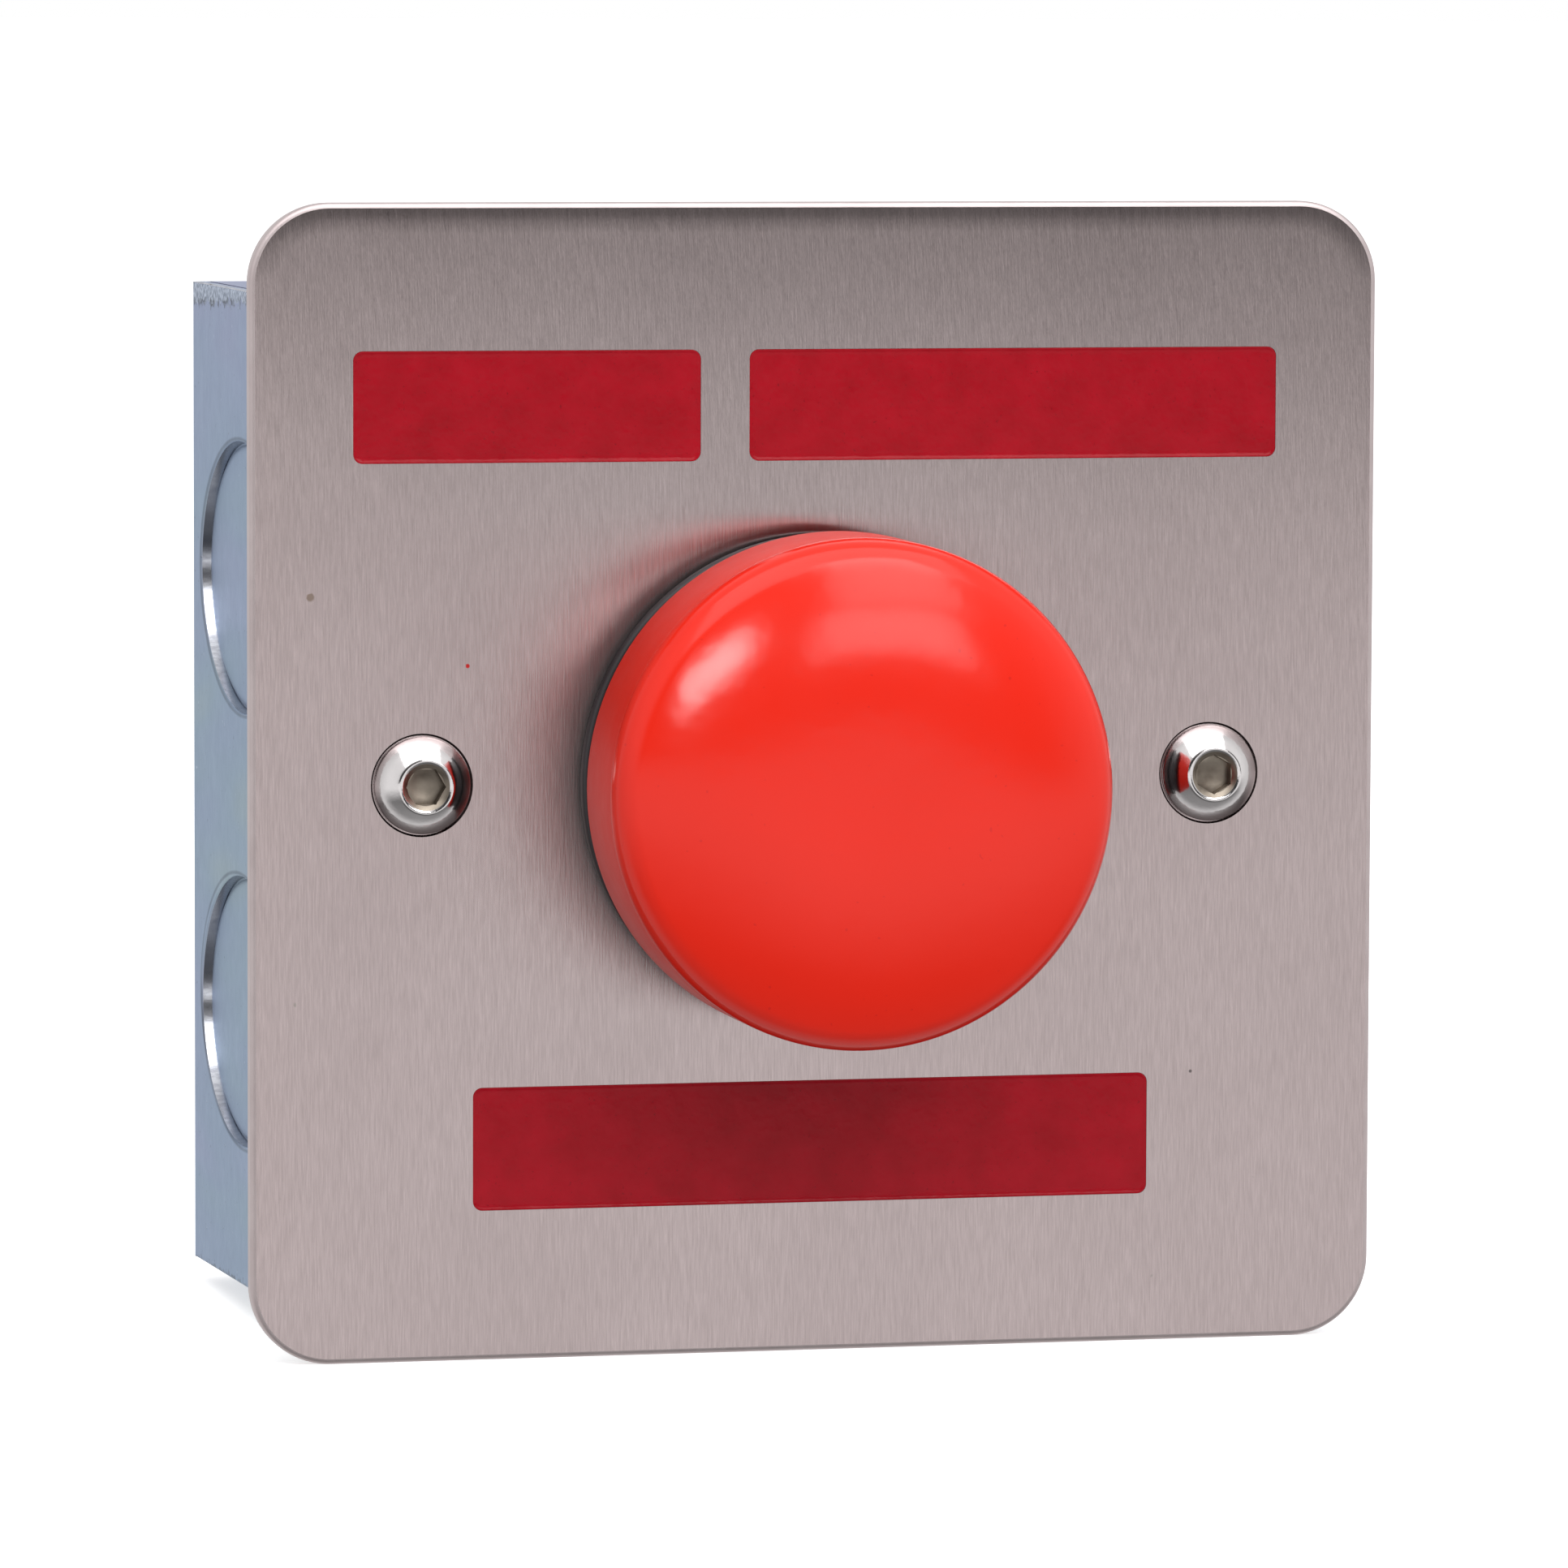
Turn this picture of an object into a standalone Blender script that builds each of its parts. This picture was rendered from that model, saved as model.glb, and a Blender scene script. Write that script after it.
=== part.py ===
"""Alarm silence push button: a stainless plate with a red palm button, on a recessed single-gang steel box.

Everything is in metres with +Z up. The wall face of the box lies in the XZ plane and the button points to -Y.
"Depth" below is a distance in front of that wall face, so it is measured along -Y.
"""

import math

import bmesh
import bpy
from mathutils import Matrix, Vector

GAP = 0.0003
WELD = 1e-6
HEAD_STEPS = 48
ROUND_STEPS = 40
SCREW_STEPS = 24
KNOCKOUT_STEPS = 24
SMALL_STEPS = 16
RIVET_STEPS = 12

# Box: pressed from 1 mm sheet; it sits slightly low and to the left behind the plate
BOX_SIDE = 0.077
BOX_DEPTH = 0.047
BOX_SHEET = 0.001
BOX_X = -0.0008
BOX_Z = -0.0027
BOX_BEND = 0.0015
LOWER_WALL_LEAN = 0.0015
SEAM_WIDTH = 0.00025
SEAM_START = 0.0022
KNOCKOUT_RADIUS = 0.0103
KNOCKOUT_STEP = 0.0005
KNOCKOUT_DEPTH = 0.0142
KNOCKOUT_SPREAD = 0.0166
END_KNOCKOUT_DEPTH = 0.0202
REAR_KNOCKOUT_SPREAD = 0.019
FIXING_OFFSET = 0.027
FIXING_RADIUS = 0.0026
FIXING_SLOT_LENGTH = 0.0102
FIXING_CORNER = 0.0024

# Plate and its two screws at the standard 60.3 mm centres
PLATE_SIDE = 0.086
PLATE_THICKNESS = 0.0015
PLATE_CORNER = 0.006
PLATE_EDGE_ROUND = 0.0005
PLATE_REAR = BOX_DEPTH + GAP
PLATE_FRONT = PLATE_REAR + PLATE_THICKNESS
PANEL_HOLE_RADIUS = 0.0153
SCREW_X = 0.0603 / 2
SCREW_HOLE_RADIUS = 0.0021
DISH_RADIUS = 0.0041
DISH_FLOOR_RADIUS = 0.00375
DISH_DEPTH = 0.0002
SCREW_HEAD_RADIUS = 0.0036
SCREW_HEAD_HEIGHT = 0.002
SCREW_RIM_HEIGHT = 0.00045
SCREW_RADIUS = 0.00165
SCREW_END = 0.033
SOCKET_FLATS = 0.0026
SOCKET_DEPTH = 0.0012
SOCKET_CHAMFER = 0.0003

# Lugs: bent tabs that the plate screws enter
LUG_HALF_WIDTH = 0.006
LUG_SHEET = 0.001
LUG_FACE = 0.0462
LUG_LEG_END = 0.033
LUG_REACH = 0.0255
LUG_COLLAR_RADIUS = 0.0029
LUG_COLLAR_LENGTH = 0.002
LUG_HOLE_RADIUS = 0.0019
LUG_SLOT = (0.036, 0.0392)

# Button head, stem and the bezel body they slide in; the travel is 3 mm
HEAD_RADIUS = 0.01885
HEAD_REAR = PLATE_FRONT + 0.0053
HEAD_SHOULDER = PLATE_FRONT + 0.0139
HEAD_SHOULDER_ROUND = 0.0026
HEAD_SHOULDER_END = math.radians(78)
HEAD_DOME_RISE = 0.0017
HEAD_SKIRT_BORE = 0.0172
HEAD_CEILING = PLATE_FRONT + 0.0142
HEAD_CEILING_CHAMFER = 0.0018
HEAD_LIP = 0.0003
BOSS_RADIUS = 0.0065
BOSS_BORE = 0.0042
BOSS_REAR = 0.0558
BOSS_BORE_END = 0.061
FLANGE_RADIUS = 0.0184
FLANGE_REAR = PLATE_FRONT + 0.0009
FLANGE_FRONT = PLATE_FRONT + 0.002
FLANGE_CHAMFER = 0.0004
COLLAR_RADIUS = 0.0166
COLLAR_BORE = 0.015
COLLAR_FRONT = PLATE_FRONT + 0.009
NECK_RADIUS = 0.0148
NECK_BORE = 0.0128
NECK_REAR = 0.0335
WEB_FRONT = NECK_REAR + 0.002
GUIDE_BORE = 0.0043
GASKET_BORE = 0.0153
GASKET_RADIUS = 0.018
GASKET_DEPTH = (PLATE_FRONT + 0.0002, PLATE_FRONT + 0.0007)
STEM_RADIUS = 0.004
STEM_TIP_RADIUS = 0.0024
STEM_TIP = 0.0294
STEM_SHOULDER = 0.0319
STEM_GROOVE = (0.0322, 0.0332)
STEM_GROOVE_RADIUS = 0.003
STEM_FLANGE_RADIUS = 0.0095
STEM_FLANGE = (0.054, 0.0555)
STEM_END = 0.0607
CLIP_BORE = 0.0032
CLIP_RADIUS = 0.0064
CLIP_DEPTH = (0.0323, 0.0331)
CLIP_MOUTH_HALF_WIDTH = 0.0024
RETURN_COIL_RADIUS = 0.0082
RETURN_WIRE_RADIUS = 0.0006
RETURN_TURNS = 6
CONTACT_COIL_RADIUS = 0.0029
CONTACT_WIRE_RADIUS = 0.0003
CONTACT_TURNS = 4
COIL_STEPS = 12

# Washer and nut that clamp the bezel body to the plate
CLAMP_BORE = 0.01515
WASHER_RADIUS = 0.0192
WASHER_DEPTH = (0.0459, 0.047)
WASHER_NOTCHES = 12
NOTCH_DEPTH = 0.0013
NOTCH_HALF_WIDTH = 0.0016
NUT_FLATS = 0.036
NUT_DEPTH = (0.0403, 0.0456)
NUT_EDGE = 0.0007

# Carrier cup on the neck, which holds the contact block
CARRIER_RADIUS = 0.017
CARRIER_REAR = 0.0291
CARRIER_FLOOR = 0.0332
CARRIER_RIM = 0.0385
CARRIER_BORE = 0.0072
CARRIER_SCREW_Z = 0.0138
LOCK_SCREW_DEPTH = 0.036
LOCK_SCREW_Z = (0.0153, 0.0186)
SMALL_SCREW_RADIUS = 0.0014
SMALL_HOLE_RADIUS = 0.0017
PAN_HEAD_RADIUS = 0.0024
PAN_HEAD_HEIGHT = 0.0019
PAN_HEAD_EDGE = 0.0005
DRIVER_SLOT_HALF_WIDTH = 0.0004
DRIVER_SLOT_DEPTH = 0.0009

# Contact block
BLOCK_X = 0.016
BLOCK_Z = 0.011
BLOCK_WALL = 0.0015
BLOCK_REAR = 0.0115
BLOCK_INSIDE = 0.0268
BLOCK_FRONT = 0.0288
BLOCK_EDGE = 0.0005
EAR_X = 0.005
EAR_Z = 0.0166
PLUNGER_HOLE_RADIUS = 0.0032
POST_X = (0.009, 0.015)
POST_Z = 0.004
POST_REAR = 0.0174
POST_BORE_END = 0.0253
TERMINAL_X = 0.012
TERMINAL_SCREW_END = 0.022
COVER_DEPTH = (0.0094, 0.0112)
COVER_ACCESS_RADIUS = 0.0027
WIRE_SLOT_X = (0.0098, 0.0142)
WIRE_SLOT_DEPTH = (0.0126, 0.016)
STRIP_X = (0.0054, 0.0142)
STRIP_Z = 0.0026
STRIP_DEPTH = (0.0162, 0.0172)
STRIP_EDGE = 0.00015
RIVET_X = 0.007
RIVET_RADIUS = 0.0015
RIVET_RISE = 0.0005
BRIDGE_X = 0.0086
BRIDGE_DEPTH = (0.0216, 0.0224)
BRIDGE_HOLE_RADIUS = 0.0018
CLAMP_X = (0.0094, 0.0142)
CLAMP_DEPTH = (0.0152, 0.0159)
PLUNGER_ROD_RADIUS = 0.0015
PLUNGER_ROD_END = 0.017
PLUNGER_NECK_RADIUS = 0.0024
PLUNGER_NECK = (0.0226, 0.0252)
PLUNGER_FLANGE_RADIUS = 0.0046
PLUNGER_FLANGE_FRONT = 0.0264
PLUNGER_TIP_RADIUS = 0.0028

# Earth block on the rear wall of the box
EARTH_X = -0.024
EARTH_Z = -0.029
EARTH_HALF_SIDE = 0.004
EARTH_DEPTH = (0.0013, 0.0083)
EARTH_WIRE_DEPTH = 0.0044
EARTH_BORE_RADIUS = 0.0018
EARTH_EDGE = 0.0003
EARTH_SCREW_END = 0.0056
EARTH_HEAD_RADIUS = 0.0031

# Looks: base colour, metallic, roughness
STAINLESS = ((0.55, 0.51, 0.50, 1.0), 1.0, 0.35)
POLISHED = ((0.72, 0.70, 0.70, 1.0), 1.0, 0.15)
ZINC = ((0.45, 0.52, 0.58, 1.0), 1.0, 0.4)
BRASS = ((0.72, 0.53, 0.25, 1.0), 1.0, 0.3)
SPRING_STEEL = ((0.5, 0.5, 0.52, 1.0), 1.0, 0.3)
RED_GLOSS = ((0.75, 0.02, 0.015, 1.0), 0.0, 0.12)
BLACK_PLASTIC = ((0.02, 0.02, 0.02, 1.0), 0.0, 0.4)
RUBBER = ((0.012, 0.012, 0.012, 1.0), 0.0, 0.8)
GREY_PLASTIC = ((0.25, 0.26, 0.27, 1.0), 0.0, 0.45)
CREAM_PLASTIC = ((0.7, 0.66, 0.55, 1.0), 0.0, 0.5)


# Scene


def clear_scene():
    for old in list(bpy.data.objects):
        bpy.data.objects.remove(old, do_unlink=True)


def new_collection(name):
    collection = bpy.data.collections.new(name)
    bpy.context.scene.collection.children.link(collection)
    return collection


def new_material(name, look):
    colour, metallic, roughness = look
    material = bpy.data.materials.new(name)
    material.use_nodes = True
    shader = material.node_tree.nodes["Principled BSDF"]
    shader.inputs["Base Color"].default_value = colour
    shader.inputs["Metallic"].default_value = metallic
    shader.inputs["Roughness"].default_value = roughness
    material.diffuse_color = colour
    return material


def place(x, depth, z):
    return Vector((x, -depth, z))


def add_object(name, data, look, location=(0, 0, 0)):
    """A piece of the part, or with no look a hidden cutter."""
    obj = bpy.data.objects.new(name, data)
    obj.location = location
    if look:
        part_collection.objects.link(obj)
        data.materials.append(new_material(name, look))
    else:
        cutter_collection.objects.link(obj)
        obj.display_type = "WIRE"
        obj.hide_render = True
    return obj


def add_solid(name, bm, look=None):
    """Object from a bmesh, with its origin at the middle of its box."""
    low = Vector(min(vert.co[axis] for vert in bm.verts) for axis in range(3))
    high = Vector(max(vert.co[axis] for vert in bm.verts) for axis in range(3))
    middle = (low + high) / 2
    bmesh.ops.translate(bm, vec=-middle, verts=bm.verts)
    mesh = bpy.data.meshes.new(name)
    bm.to_mesh(mesh)
    bm.free()
    mesh.shade_smooth()
    mesh.set_sharp_from_angle(angle=math.radians(35))
    return add_object(name, mesh, look, middle)


def work(target, operation, tool):
    """Cuts the tool from the target, or joins it to the target."""
    step = target.modifiers.new(tool.name, "BOOLEAN")
    step.operation = operation
    step.object = tool
    step.solver = "EXACT"


def cut(target, name, bm):
    work(target, "DIFFERENCE", add_solid(name, bm))


def join(target, name, bm):
    work(target, "UNION", add_solid(name, bm))


# Shapes


def block(x, depth, z):
    """Block between two x, two depths and two z."""
    bm = bmesh.new()
    bmesh.ops.create_cube(bm, size=1.0)
    bmesh.ops.scale(bm, vec=(abs(x[1] - x[0]), abs(depth[1] - depth[0]), abs(z[1] - z[0])), verts=bm.verts)
    middle = place((x[0] + x[1]) / 2, (depth[0] + depth[1]) / 2, (z[0] + z[1]) / 2)
    bmesh.ops.translate(bm, vec=middle, verts=bm.verts)
    return bm


def cylinder(radius, depth, x=0.0, z=0.0, steps=SMALL_STEPS, turn=0.0):
    """Cylinder or, with few steps, a prism whose axis runs along Y; turn rotates it about that axis."""
    bm = bmesh.new()
    length = depth[1] - depth[0]
    bmesh.ops.create_cone(bm, cap_ends=True, segments=steps, radius1=radius, radius2=radius, depth=length)
    stand = Matrix.Rotation(math.radians(90), 4, "X") @ Matrix.Rotation(turn, 4, "Z")
    middle = place(x, (depth[0] + depth[1]) / 2, z)
    bmesh.ops.transform(bm, matrix=Matrix.Translation(middle) @ stand, verts=bm.verts)
    return bm


def turned_towards(bm, axis, point):
    """Swings a solid, built along the depth axis, so that depth runs along another axis from a point."""
    swing = Vector((0, -1, 0)).rotation_difference(Vector(axis)).to_matrix().to_4x4()
    bmesh.ops.transform(bm, matrix=Matrix.Translation(point) @ swing, verts=bm.verts)
    return bm


def together(solids):
    """One bmesh that holds several solids, which stay apart."""
    whole = bmesh.new()
    for bm in solids:
        scratch = bpy.data.meshes.new("scratch")
        bm.to_mesh(scratch)
        bm.free()
        whole.from_mesh(scratch)
        bpy.data.meshes.remove(scratch)
    return whole


def bevel_edges(bm, edges, size, segments):
    bmesh.ops.bevel(bm, geom=edges, offset=size, segments=segments, profile=0.5, affect="EDGES")
    return bm


def bevel_all(bm, size, segments):
    return bevel_edges(bm, bm.edges[:], size, segments)


def bevel_corners(bm, size, segments):
    """Rounds the edges that run along the depth axis."""
    edges = [edge for edge in bm.edges if abs((edge.verts[0].co - edge.verts[1].co).normalized().y) > 0.9]
    return bevel_edges(bm, edges, size, segments)


def bevel_rim(bm, depth, size, segments):
    """Rounds the edges that lie at one depth."""
    edges = [edge for edge in bm.edges if all(abs(vert.co.y + depth) < WELD for vert in edge.verts)]
    return bevel_edges(bm, edges, size, segments)


def arc(centre, radius, start, end, count):
    points = []
    for index in range(count + 1):
        angle = start + (end - start) * index / count
        points.append((centre[0] + radius * math.cos(angle), centre[1] + radius * math.sin(angle)))
    return points


def axis_arc(start, end, count):
    """Points from one (radius, depth) to another on a sphere whose centre is on the axis."""
    height = (end[0] ** 2 + end[1] ** 2 - start[0] ** 2 - start[1] ** 2) / (2 * (end[1] - start[1]))
    first = math.atan2(start[1] - height, start[0])
    last = math.atan2(end[1] - height, end[0])
    return arc((0, height), math.hypot(start[0], start[1] - height), first, last, count)


def ring_profile(bore, radius, depth):
    return [(bore, depth[0]), (radius, depth[0]), (radius, depth[1]), (bore, depth[1])]


def turned(name, profile, look, x=0.0, z=0.0, steps=ROUND_STEPS):
    """Turns a profile of (radius, depth) points about Y. It goes forward along the outer side, and it closes
    itself unless both ends are on the axis.
    """
    bm = bmesh.new()
    points = [bm.verts.new(place(radius, depth, 0)) for radius, depth in profile]
    for first, second in zip(points, points[1:] + points[:1]):
        if max(first.co.x, second.co.x) > WELD:
            bm.edges.new((first, second))
    mesh = bpy.data.meshes.new(name)
    bm.to_mesh(mesh)
    bm.free()
    obj = add_object(name, mesh, look, (x, 0, z))
    screw = obj.modifiers.new("Turn", "SCREW")
    screw.axis = "Y"
    screw.steps = steps
    screw.render_steps = steps
    screw.use_merge_vertices = True
    screw.merge_threshold = WELD
    screw.use_smooth_shade = True
    return obj


def coil(name, radius, wire_radius, depth, turns):
    """Round-wire spring about the button's axis, resting between two depths."""
    count = turns * COIL_STEPS
    curve = bpy.data.curves.new(name, "CURVE")
    curve.dimensions = "3D"
    curve.bevel_depth = wire_radius
    curve.bevel_resolution = 2
    curve.use_fill_caps = True
    spline = curve.splines.new("POLY")
    spline.points.add(count)
    start = depth[0] + wire_radius
    rise = depth[1] - depth[0] - 2 * wire_radius
    for index, point in enumerate(spline.points):
        angle = math.tau * index / COIL_STEPS
        across = radius * math.cos(angle)
        up = radius * math.sin(angle)
        point.co = (*place(across, start + rise * index / count, up), 1.0)
    return add_object(name, curve, SPRING_STEEL)


# Box


def leaned(bm):
    """Tilts what lies by the lower wall of the box, which leans in toward the front."""
    for vert in bm.verts:
        if vert.co.z < BOX_Z:
            vert.co.z += LOWER_WALL_LEAN * -vert.co.y / BOX_DEPTH
    return bm


def knockouts(radius, span):
    """One cylinder for each knockout; span runs inward from the outer face of its wall."""
    half = BOX_SIDE / 2
    spots = []
    for side in (-1, 1):
        for offset in (-KNOCKOUT_SPREAD, KNOCKOUT_SPREAD):
            spots.append(((-side, 0, 0), place(BOX_X + side * half, KNOCKOUT_DEPTH, BOX_Z + offset)))
        spots.append(((0, 0, -side), place(BOX_X, END_KNOCKOUT_DEPTH, BOX_Z + side * half)))
        spots.append(((0, -1, 0), place(BOX_X, 0, BOX_Z + side * REAR_KNOCKOUT_SPREAD)))
    discs = [turned_towards(cylinder(radius, span, steps=KNOCKOUT_STEPS), axis, spot) for axis, spot in spots]
    return leaned(together(discs))


def corner_seams():
    """Slits where the upper and lower walls end between the side walls."""
    slits = []
    for side_z in (-1, 1):
        outer = BOX_Z + side_z * (BOX_SIDE / 2 + BOX_SHEET)
        inner = BOX_Z + side_z * (BOX_SIDE / 2 - BOX_SHEET - GAP)
        for side_x in (-1, 1):
            edge = BOX_X + side_x * (BOX_SIDE / 2 - BOX_SHEET)
            width = (edge, edge - side_x * SEAM_WIDTH)
            slits.append(block(width, (SEAM_START, BOX_DEPTH + BOX_SHEET), (outer, inner)))
    return leaned(together(slits))


def fixing_holes():
    """Two slots at mid height and two round holes in opposite corners of the rear wall."""
    through = (-BOX_SHEET, 2 * BOX_SHEET)
    holes = []
    for side in (-1, 1):
        x = BOX_X + side * FIXING_OFFSET
        slot_x = (x - FIXING_SLOT_LENGTH / 2, x + FIXING_SLOT_LENGTH / 2)
        slot = block(slot_x, through, (-FIXING_RADIUS, FIXING_RADIUS))
        holes.append(bevel_corners(slot, FIXING_CORNER, 5))
        holes.append(cylinder(FIXING_RADIUS, through, x, BOX_Z + side * FIXING_OFFSET))
    return together(holes)


def make_back_box():
    half = BOX_SIDE / 2
    inner = half - BOX_SHEET
    shell = block((BOX_X - half, BOX_X + half), (0, BOX_DEPTH), (BOX_Z - half, BOX_Z + half))
    box = add_solid("back_box", leaned(bevel_rim(shell, 0, BOX_BEND, 3)), ZINC)
    hollow_depth = (BOX_SHEET, BOX_DEPTH + BOX_SHEET)
    hollow = block((BOX_X - inner, BOX_X + inner), hollow_depth, (BOX_Z - inner, BOX_Z + inner))
    cut(box, "box_hollow", leaned(hollow))
    cut(box, "box_knockout_recesses", knockouts(KNOCKOUT_RADIUS, (-BOX_SHEET, KNOCKOUT_STEP)))
    disc_span = (BOX_SHEET - KNOCKOUT_STEP / 2, BOX_SHEET + KNOCKOUT_STEP)
    join(box, "box_knockout_discs", knockouts(KNOCKOUT_RADIUS - GAP, disc_span))
    cut(box, "box_corner_seams", corner_seams())
    cut(box, "box_fixing_holes", fixing_holes())


def make_lug(name, side):
    """Tab bent from a strip against a side wall of the box, with a tapped collar under the plate screw."""
    wall = BOX_X + side * (BOX_SIDE / 2 - BOX_SHEET - GAP)
    width = (-LUG_HALF_WIDTH, LUG_HALF_WIDTH)
    tab_rear = LUG_FACE - LUG_SHEET
    tab_middle = LUG_FACE - LUG_SHEET / 2
    lug = add_solid(name, block((wall, side * LUG_REACH), (tab_rear, LUG_FACE), width), ZINC)
    join(lug, name + "_leg", block((wall, wall - side * LUG_SHEET), (LUG_LEG_END, tab_middle), width))
    collar = (tab_rear - LUG_COLLAR_LENGTH, tab_middle)
    join(lug, name + "_collar", cylinder(LUG_COLLAR_RADIUS, collar, side * SCREW_X))
    bore = (collar[0] - LUG_SHEET, LUG_FACE + LUG_SHEET)
    cut(lug, name + "_bore", cylinder(LUG_HOLE_RADIUS, bore, side * SCREW_X))
    return lug


def make_lugs():
    make_lug("fixed_lug", -1)
    lug = make_lug("adjustable_lug", 1)
    wall = BOX_X + BOX_SIDE / 2
    slot = block((wall - 4 * LUG_SHEET, wall), LUG_SLOT, (-LUG_HALF_WIDTH / 2, LUG_HALF_WIDTH / 2))
    cut(lug, "adjustable_lug_slot", slot)


# Plate


def make_face_plate():
    half = PLATE_SIDE / 2
    sheet = block((-half, half), (PLATE_REAR, PLATE_FRONT), (-half, half))
    sheet = bevel_corners(sheet, PLATE_CORNER, 8)
    plate = add_solid("face_plate", bevel_rim(sheet, PLATE_FRONT, PLATE_EDGE_ROUND, 3), STAINLESS)
    through = (PLATE_REAR - PLATE_THICKNESS, PLATE_FRONT + PLATE_THICKNESS)
    cut(plate, "plate_panel_hole", cylinder(PANEL_HOLE_RADIUS, through, steps=ROUND_STEPS))
    dish_floor = PLATE_FRONT - DISH_DEPTH
    dish = [
        (0, dish_floor),
        (DISH_FLOOR_RADIUS, dish_floor),
        (DISH_RADIUS, PLATE_FRONT),
        (DISH_RADIUS, through[1]),
        (0, through[1]),
    ]
    for name, side in (("left", -1), ("right", 1)):
        cut(plate, "plate_screw_hole_" + name, cylinder(SCREW_HOLE_RADIUS, through, side * SCREW_X))
        work(plate, "DIFFERENCE", turned("plate_dish_" + name, dish, None, side * SCREW_X, 0, SCREW_STEPS))


def make_plate_screw(name, side, turn):
    """Button-head screw with a hexagon socket."""
    seat = PLATE_FRONT - DISH_DEPTH / 2
    crown = seat + SCREW_HEAD_HEIGHT
    corner = SOCKET_FLATS / math.sqrt(3)
    crown_edge = (corner + 1.5 * SOCKET_CHAMFER, crown)
    profile = [
        (0, SCREW_END),
        (SCREW_RADIUS - SOCKET_CHAMFER, SCREW_END),
        (SCREW_RADIUS, SCREW_END + SOCKET_CHAMFER),
        (SCREW_RADIUS, seat),
        (SCREW_HEAD_RADIUS, seat),
        *axis_arc((SCREW_HEAD_RADIUS, seat + SCREW_RIM_HEIGHT), crown_edge, 4),
        (corner + SOCKET_CHAMFER, crown),
        (corner, crown - SOCKET_CHAMFER),
        (0, crown - SOCKET_CHAMFER),
    ]
    screw = turned(name, profile, POLISHED, side * SCREW_X, 0, SCREW_STEPS)
    socket = (crown - SOCKET_DEPTH, crown + SOCKET_DEPTH)
    cut(screw, name + "_socket", cylinder(corner, socket, side * SCREW_X, 0, 6, turn))


# Button


def make_button_head():
    shoulder_top = HEAD_SHOULDER + HEAD_SHOULDER_ROUND
    shoulder_centre = (HEAD_RADIUS - HEAD_SHOULDER_ROUND, HEAD_SHOULDER)
    shoulder = arc(shoulder_centre, HEAD_SHOULDER_ROUND, 0, HEAD_SHOULDER_END, 5)
    apex = (0, shoulder_top + HEAD_DOME_RISE)
    profile = [
        (0, BOSS_BORE_END),
        (BOSS_BORE, BOSS_BORE_END),
        (BOSS_BORE, BOSS_REAR),
        (BOSS_RADIUS, BOSS_REAR),
        (BOSS_RADIUS, HEAD_CEILING),
        (HEAD_SKIRT_BORE - HEAD_CEILING_CHAMFER, HEAD_CEILING),
        (HEAD_SKIRT_BORE, HEAD_CEILING - HEAD_CEILING_CHAMFER),
        (HEAD_SKIRT_BORE, HEAD_REAR),
        (HEAD_RADIUS - HEAD_LIP, HEAD_REAR),
        (HEAD_RADIUS, HEAD_REAR + HEAD_LIP),
        *shoulder,
        *axis_arc(shoulder[-1], apex, 4)[1:-1],
        apex,
    ]
    return turned("button_head", profile, RED_GLOSS, steps=HEAD_STEPS)


def make_bezel_body():
    profile = [
        (GUIDE_BORE, NECK_REAR),
        (NECK_RADIUS, NECK_REAR),
        (NECK_RADIUS, FLANGE_REAR),
        (FLANGE_RADIUS, FLANGE_REAR),
        (FLANGE_RADIUS, FLANGE_FRONT - FLANGE_CHAMFER),
        (FLANGE_RADIUS - FLANGE_CHAMFER, FLANGE_FRONT),
        (COLLAR_RADIUS, FLANGE_FRONT),
        (COLLAR_RADIUS, COLLAR_FRONT),
        (COLLAR_BORE, COLLAR_FRONT),
        (COLLAR_BORE, FLANGE_FRONT),
        (NECK_BORE, FLANGE_FRONT),
        (NECK_BORE, WEB_FRONT),
        (GUIDE_BORE, WEB_FRONT),
    ]
    turned("bezel_body", profile, BLACK_PLASTIC)


def make_push_stem():
    profile = [
        (0, STEM_TIP),
        (STEM_TIP_RADIUS, STEM_TIP),
        (STEM_TIP_RADIUS, STEM_SHOULDER),
        (STEM_RADIUS, STEM_SHOULDER),
        (STEM_RADIUS, STEM_GROOVE[0]),
        (STEM_GROOVE_RADIUS, STEM_GROOVE[0]),
        (STEM_GROOVE_RADIUS, STEM_GROOVE[1]),
        (STEM_RADIUS, STEM_GROOVE[1]),
        (STEM_RADIUS, STEM_FLANGE[0]),
        (STEM_FLANGE_RADIUS, STEM_FLANGE[0]),
        (STEM_FLANGE_RADIUS, STEM_FLANGE[1]),
        (STEM_RADIUS, STEM_FLANGE[1]),
        (STEM_RADIUS, STEM_END),
        (0, STEM_END),
    ]
    return turned("push_stem", profile, GREY_PLASTIC, steps=SCREW_STEPS)


def make_stem_clip():
    profile = ring_profile(CLIP_BORE, CLIP_RADIUS, CLIP_DEPTH)
    clip = turned("stem_clip", profile, SPRING_STEEL, steps=SCREW_STEPS)
    mouth_x = (-CLIP_MOUTH_HALF_WIDTH, CLIP_MOUTH_HALF_WIDTH)
    mouth_depth = (CLIP_DEPTH[0] - GAP, CLIP_DEPTH[1] + GAP)
    cut(clip, "stem_clip_mouth", block(mouth_x, mouth_depth, (-CLIP_RADIUS - GAP, 0)))
    return clip


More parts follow.
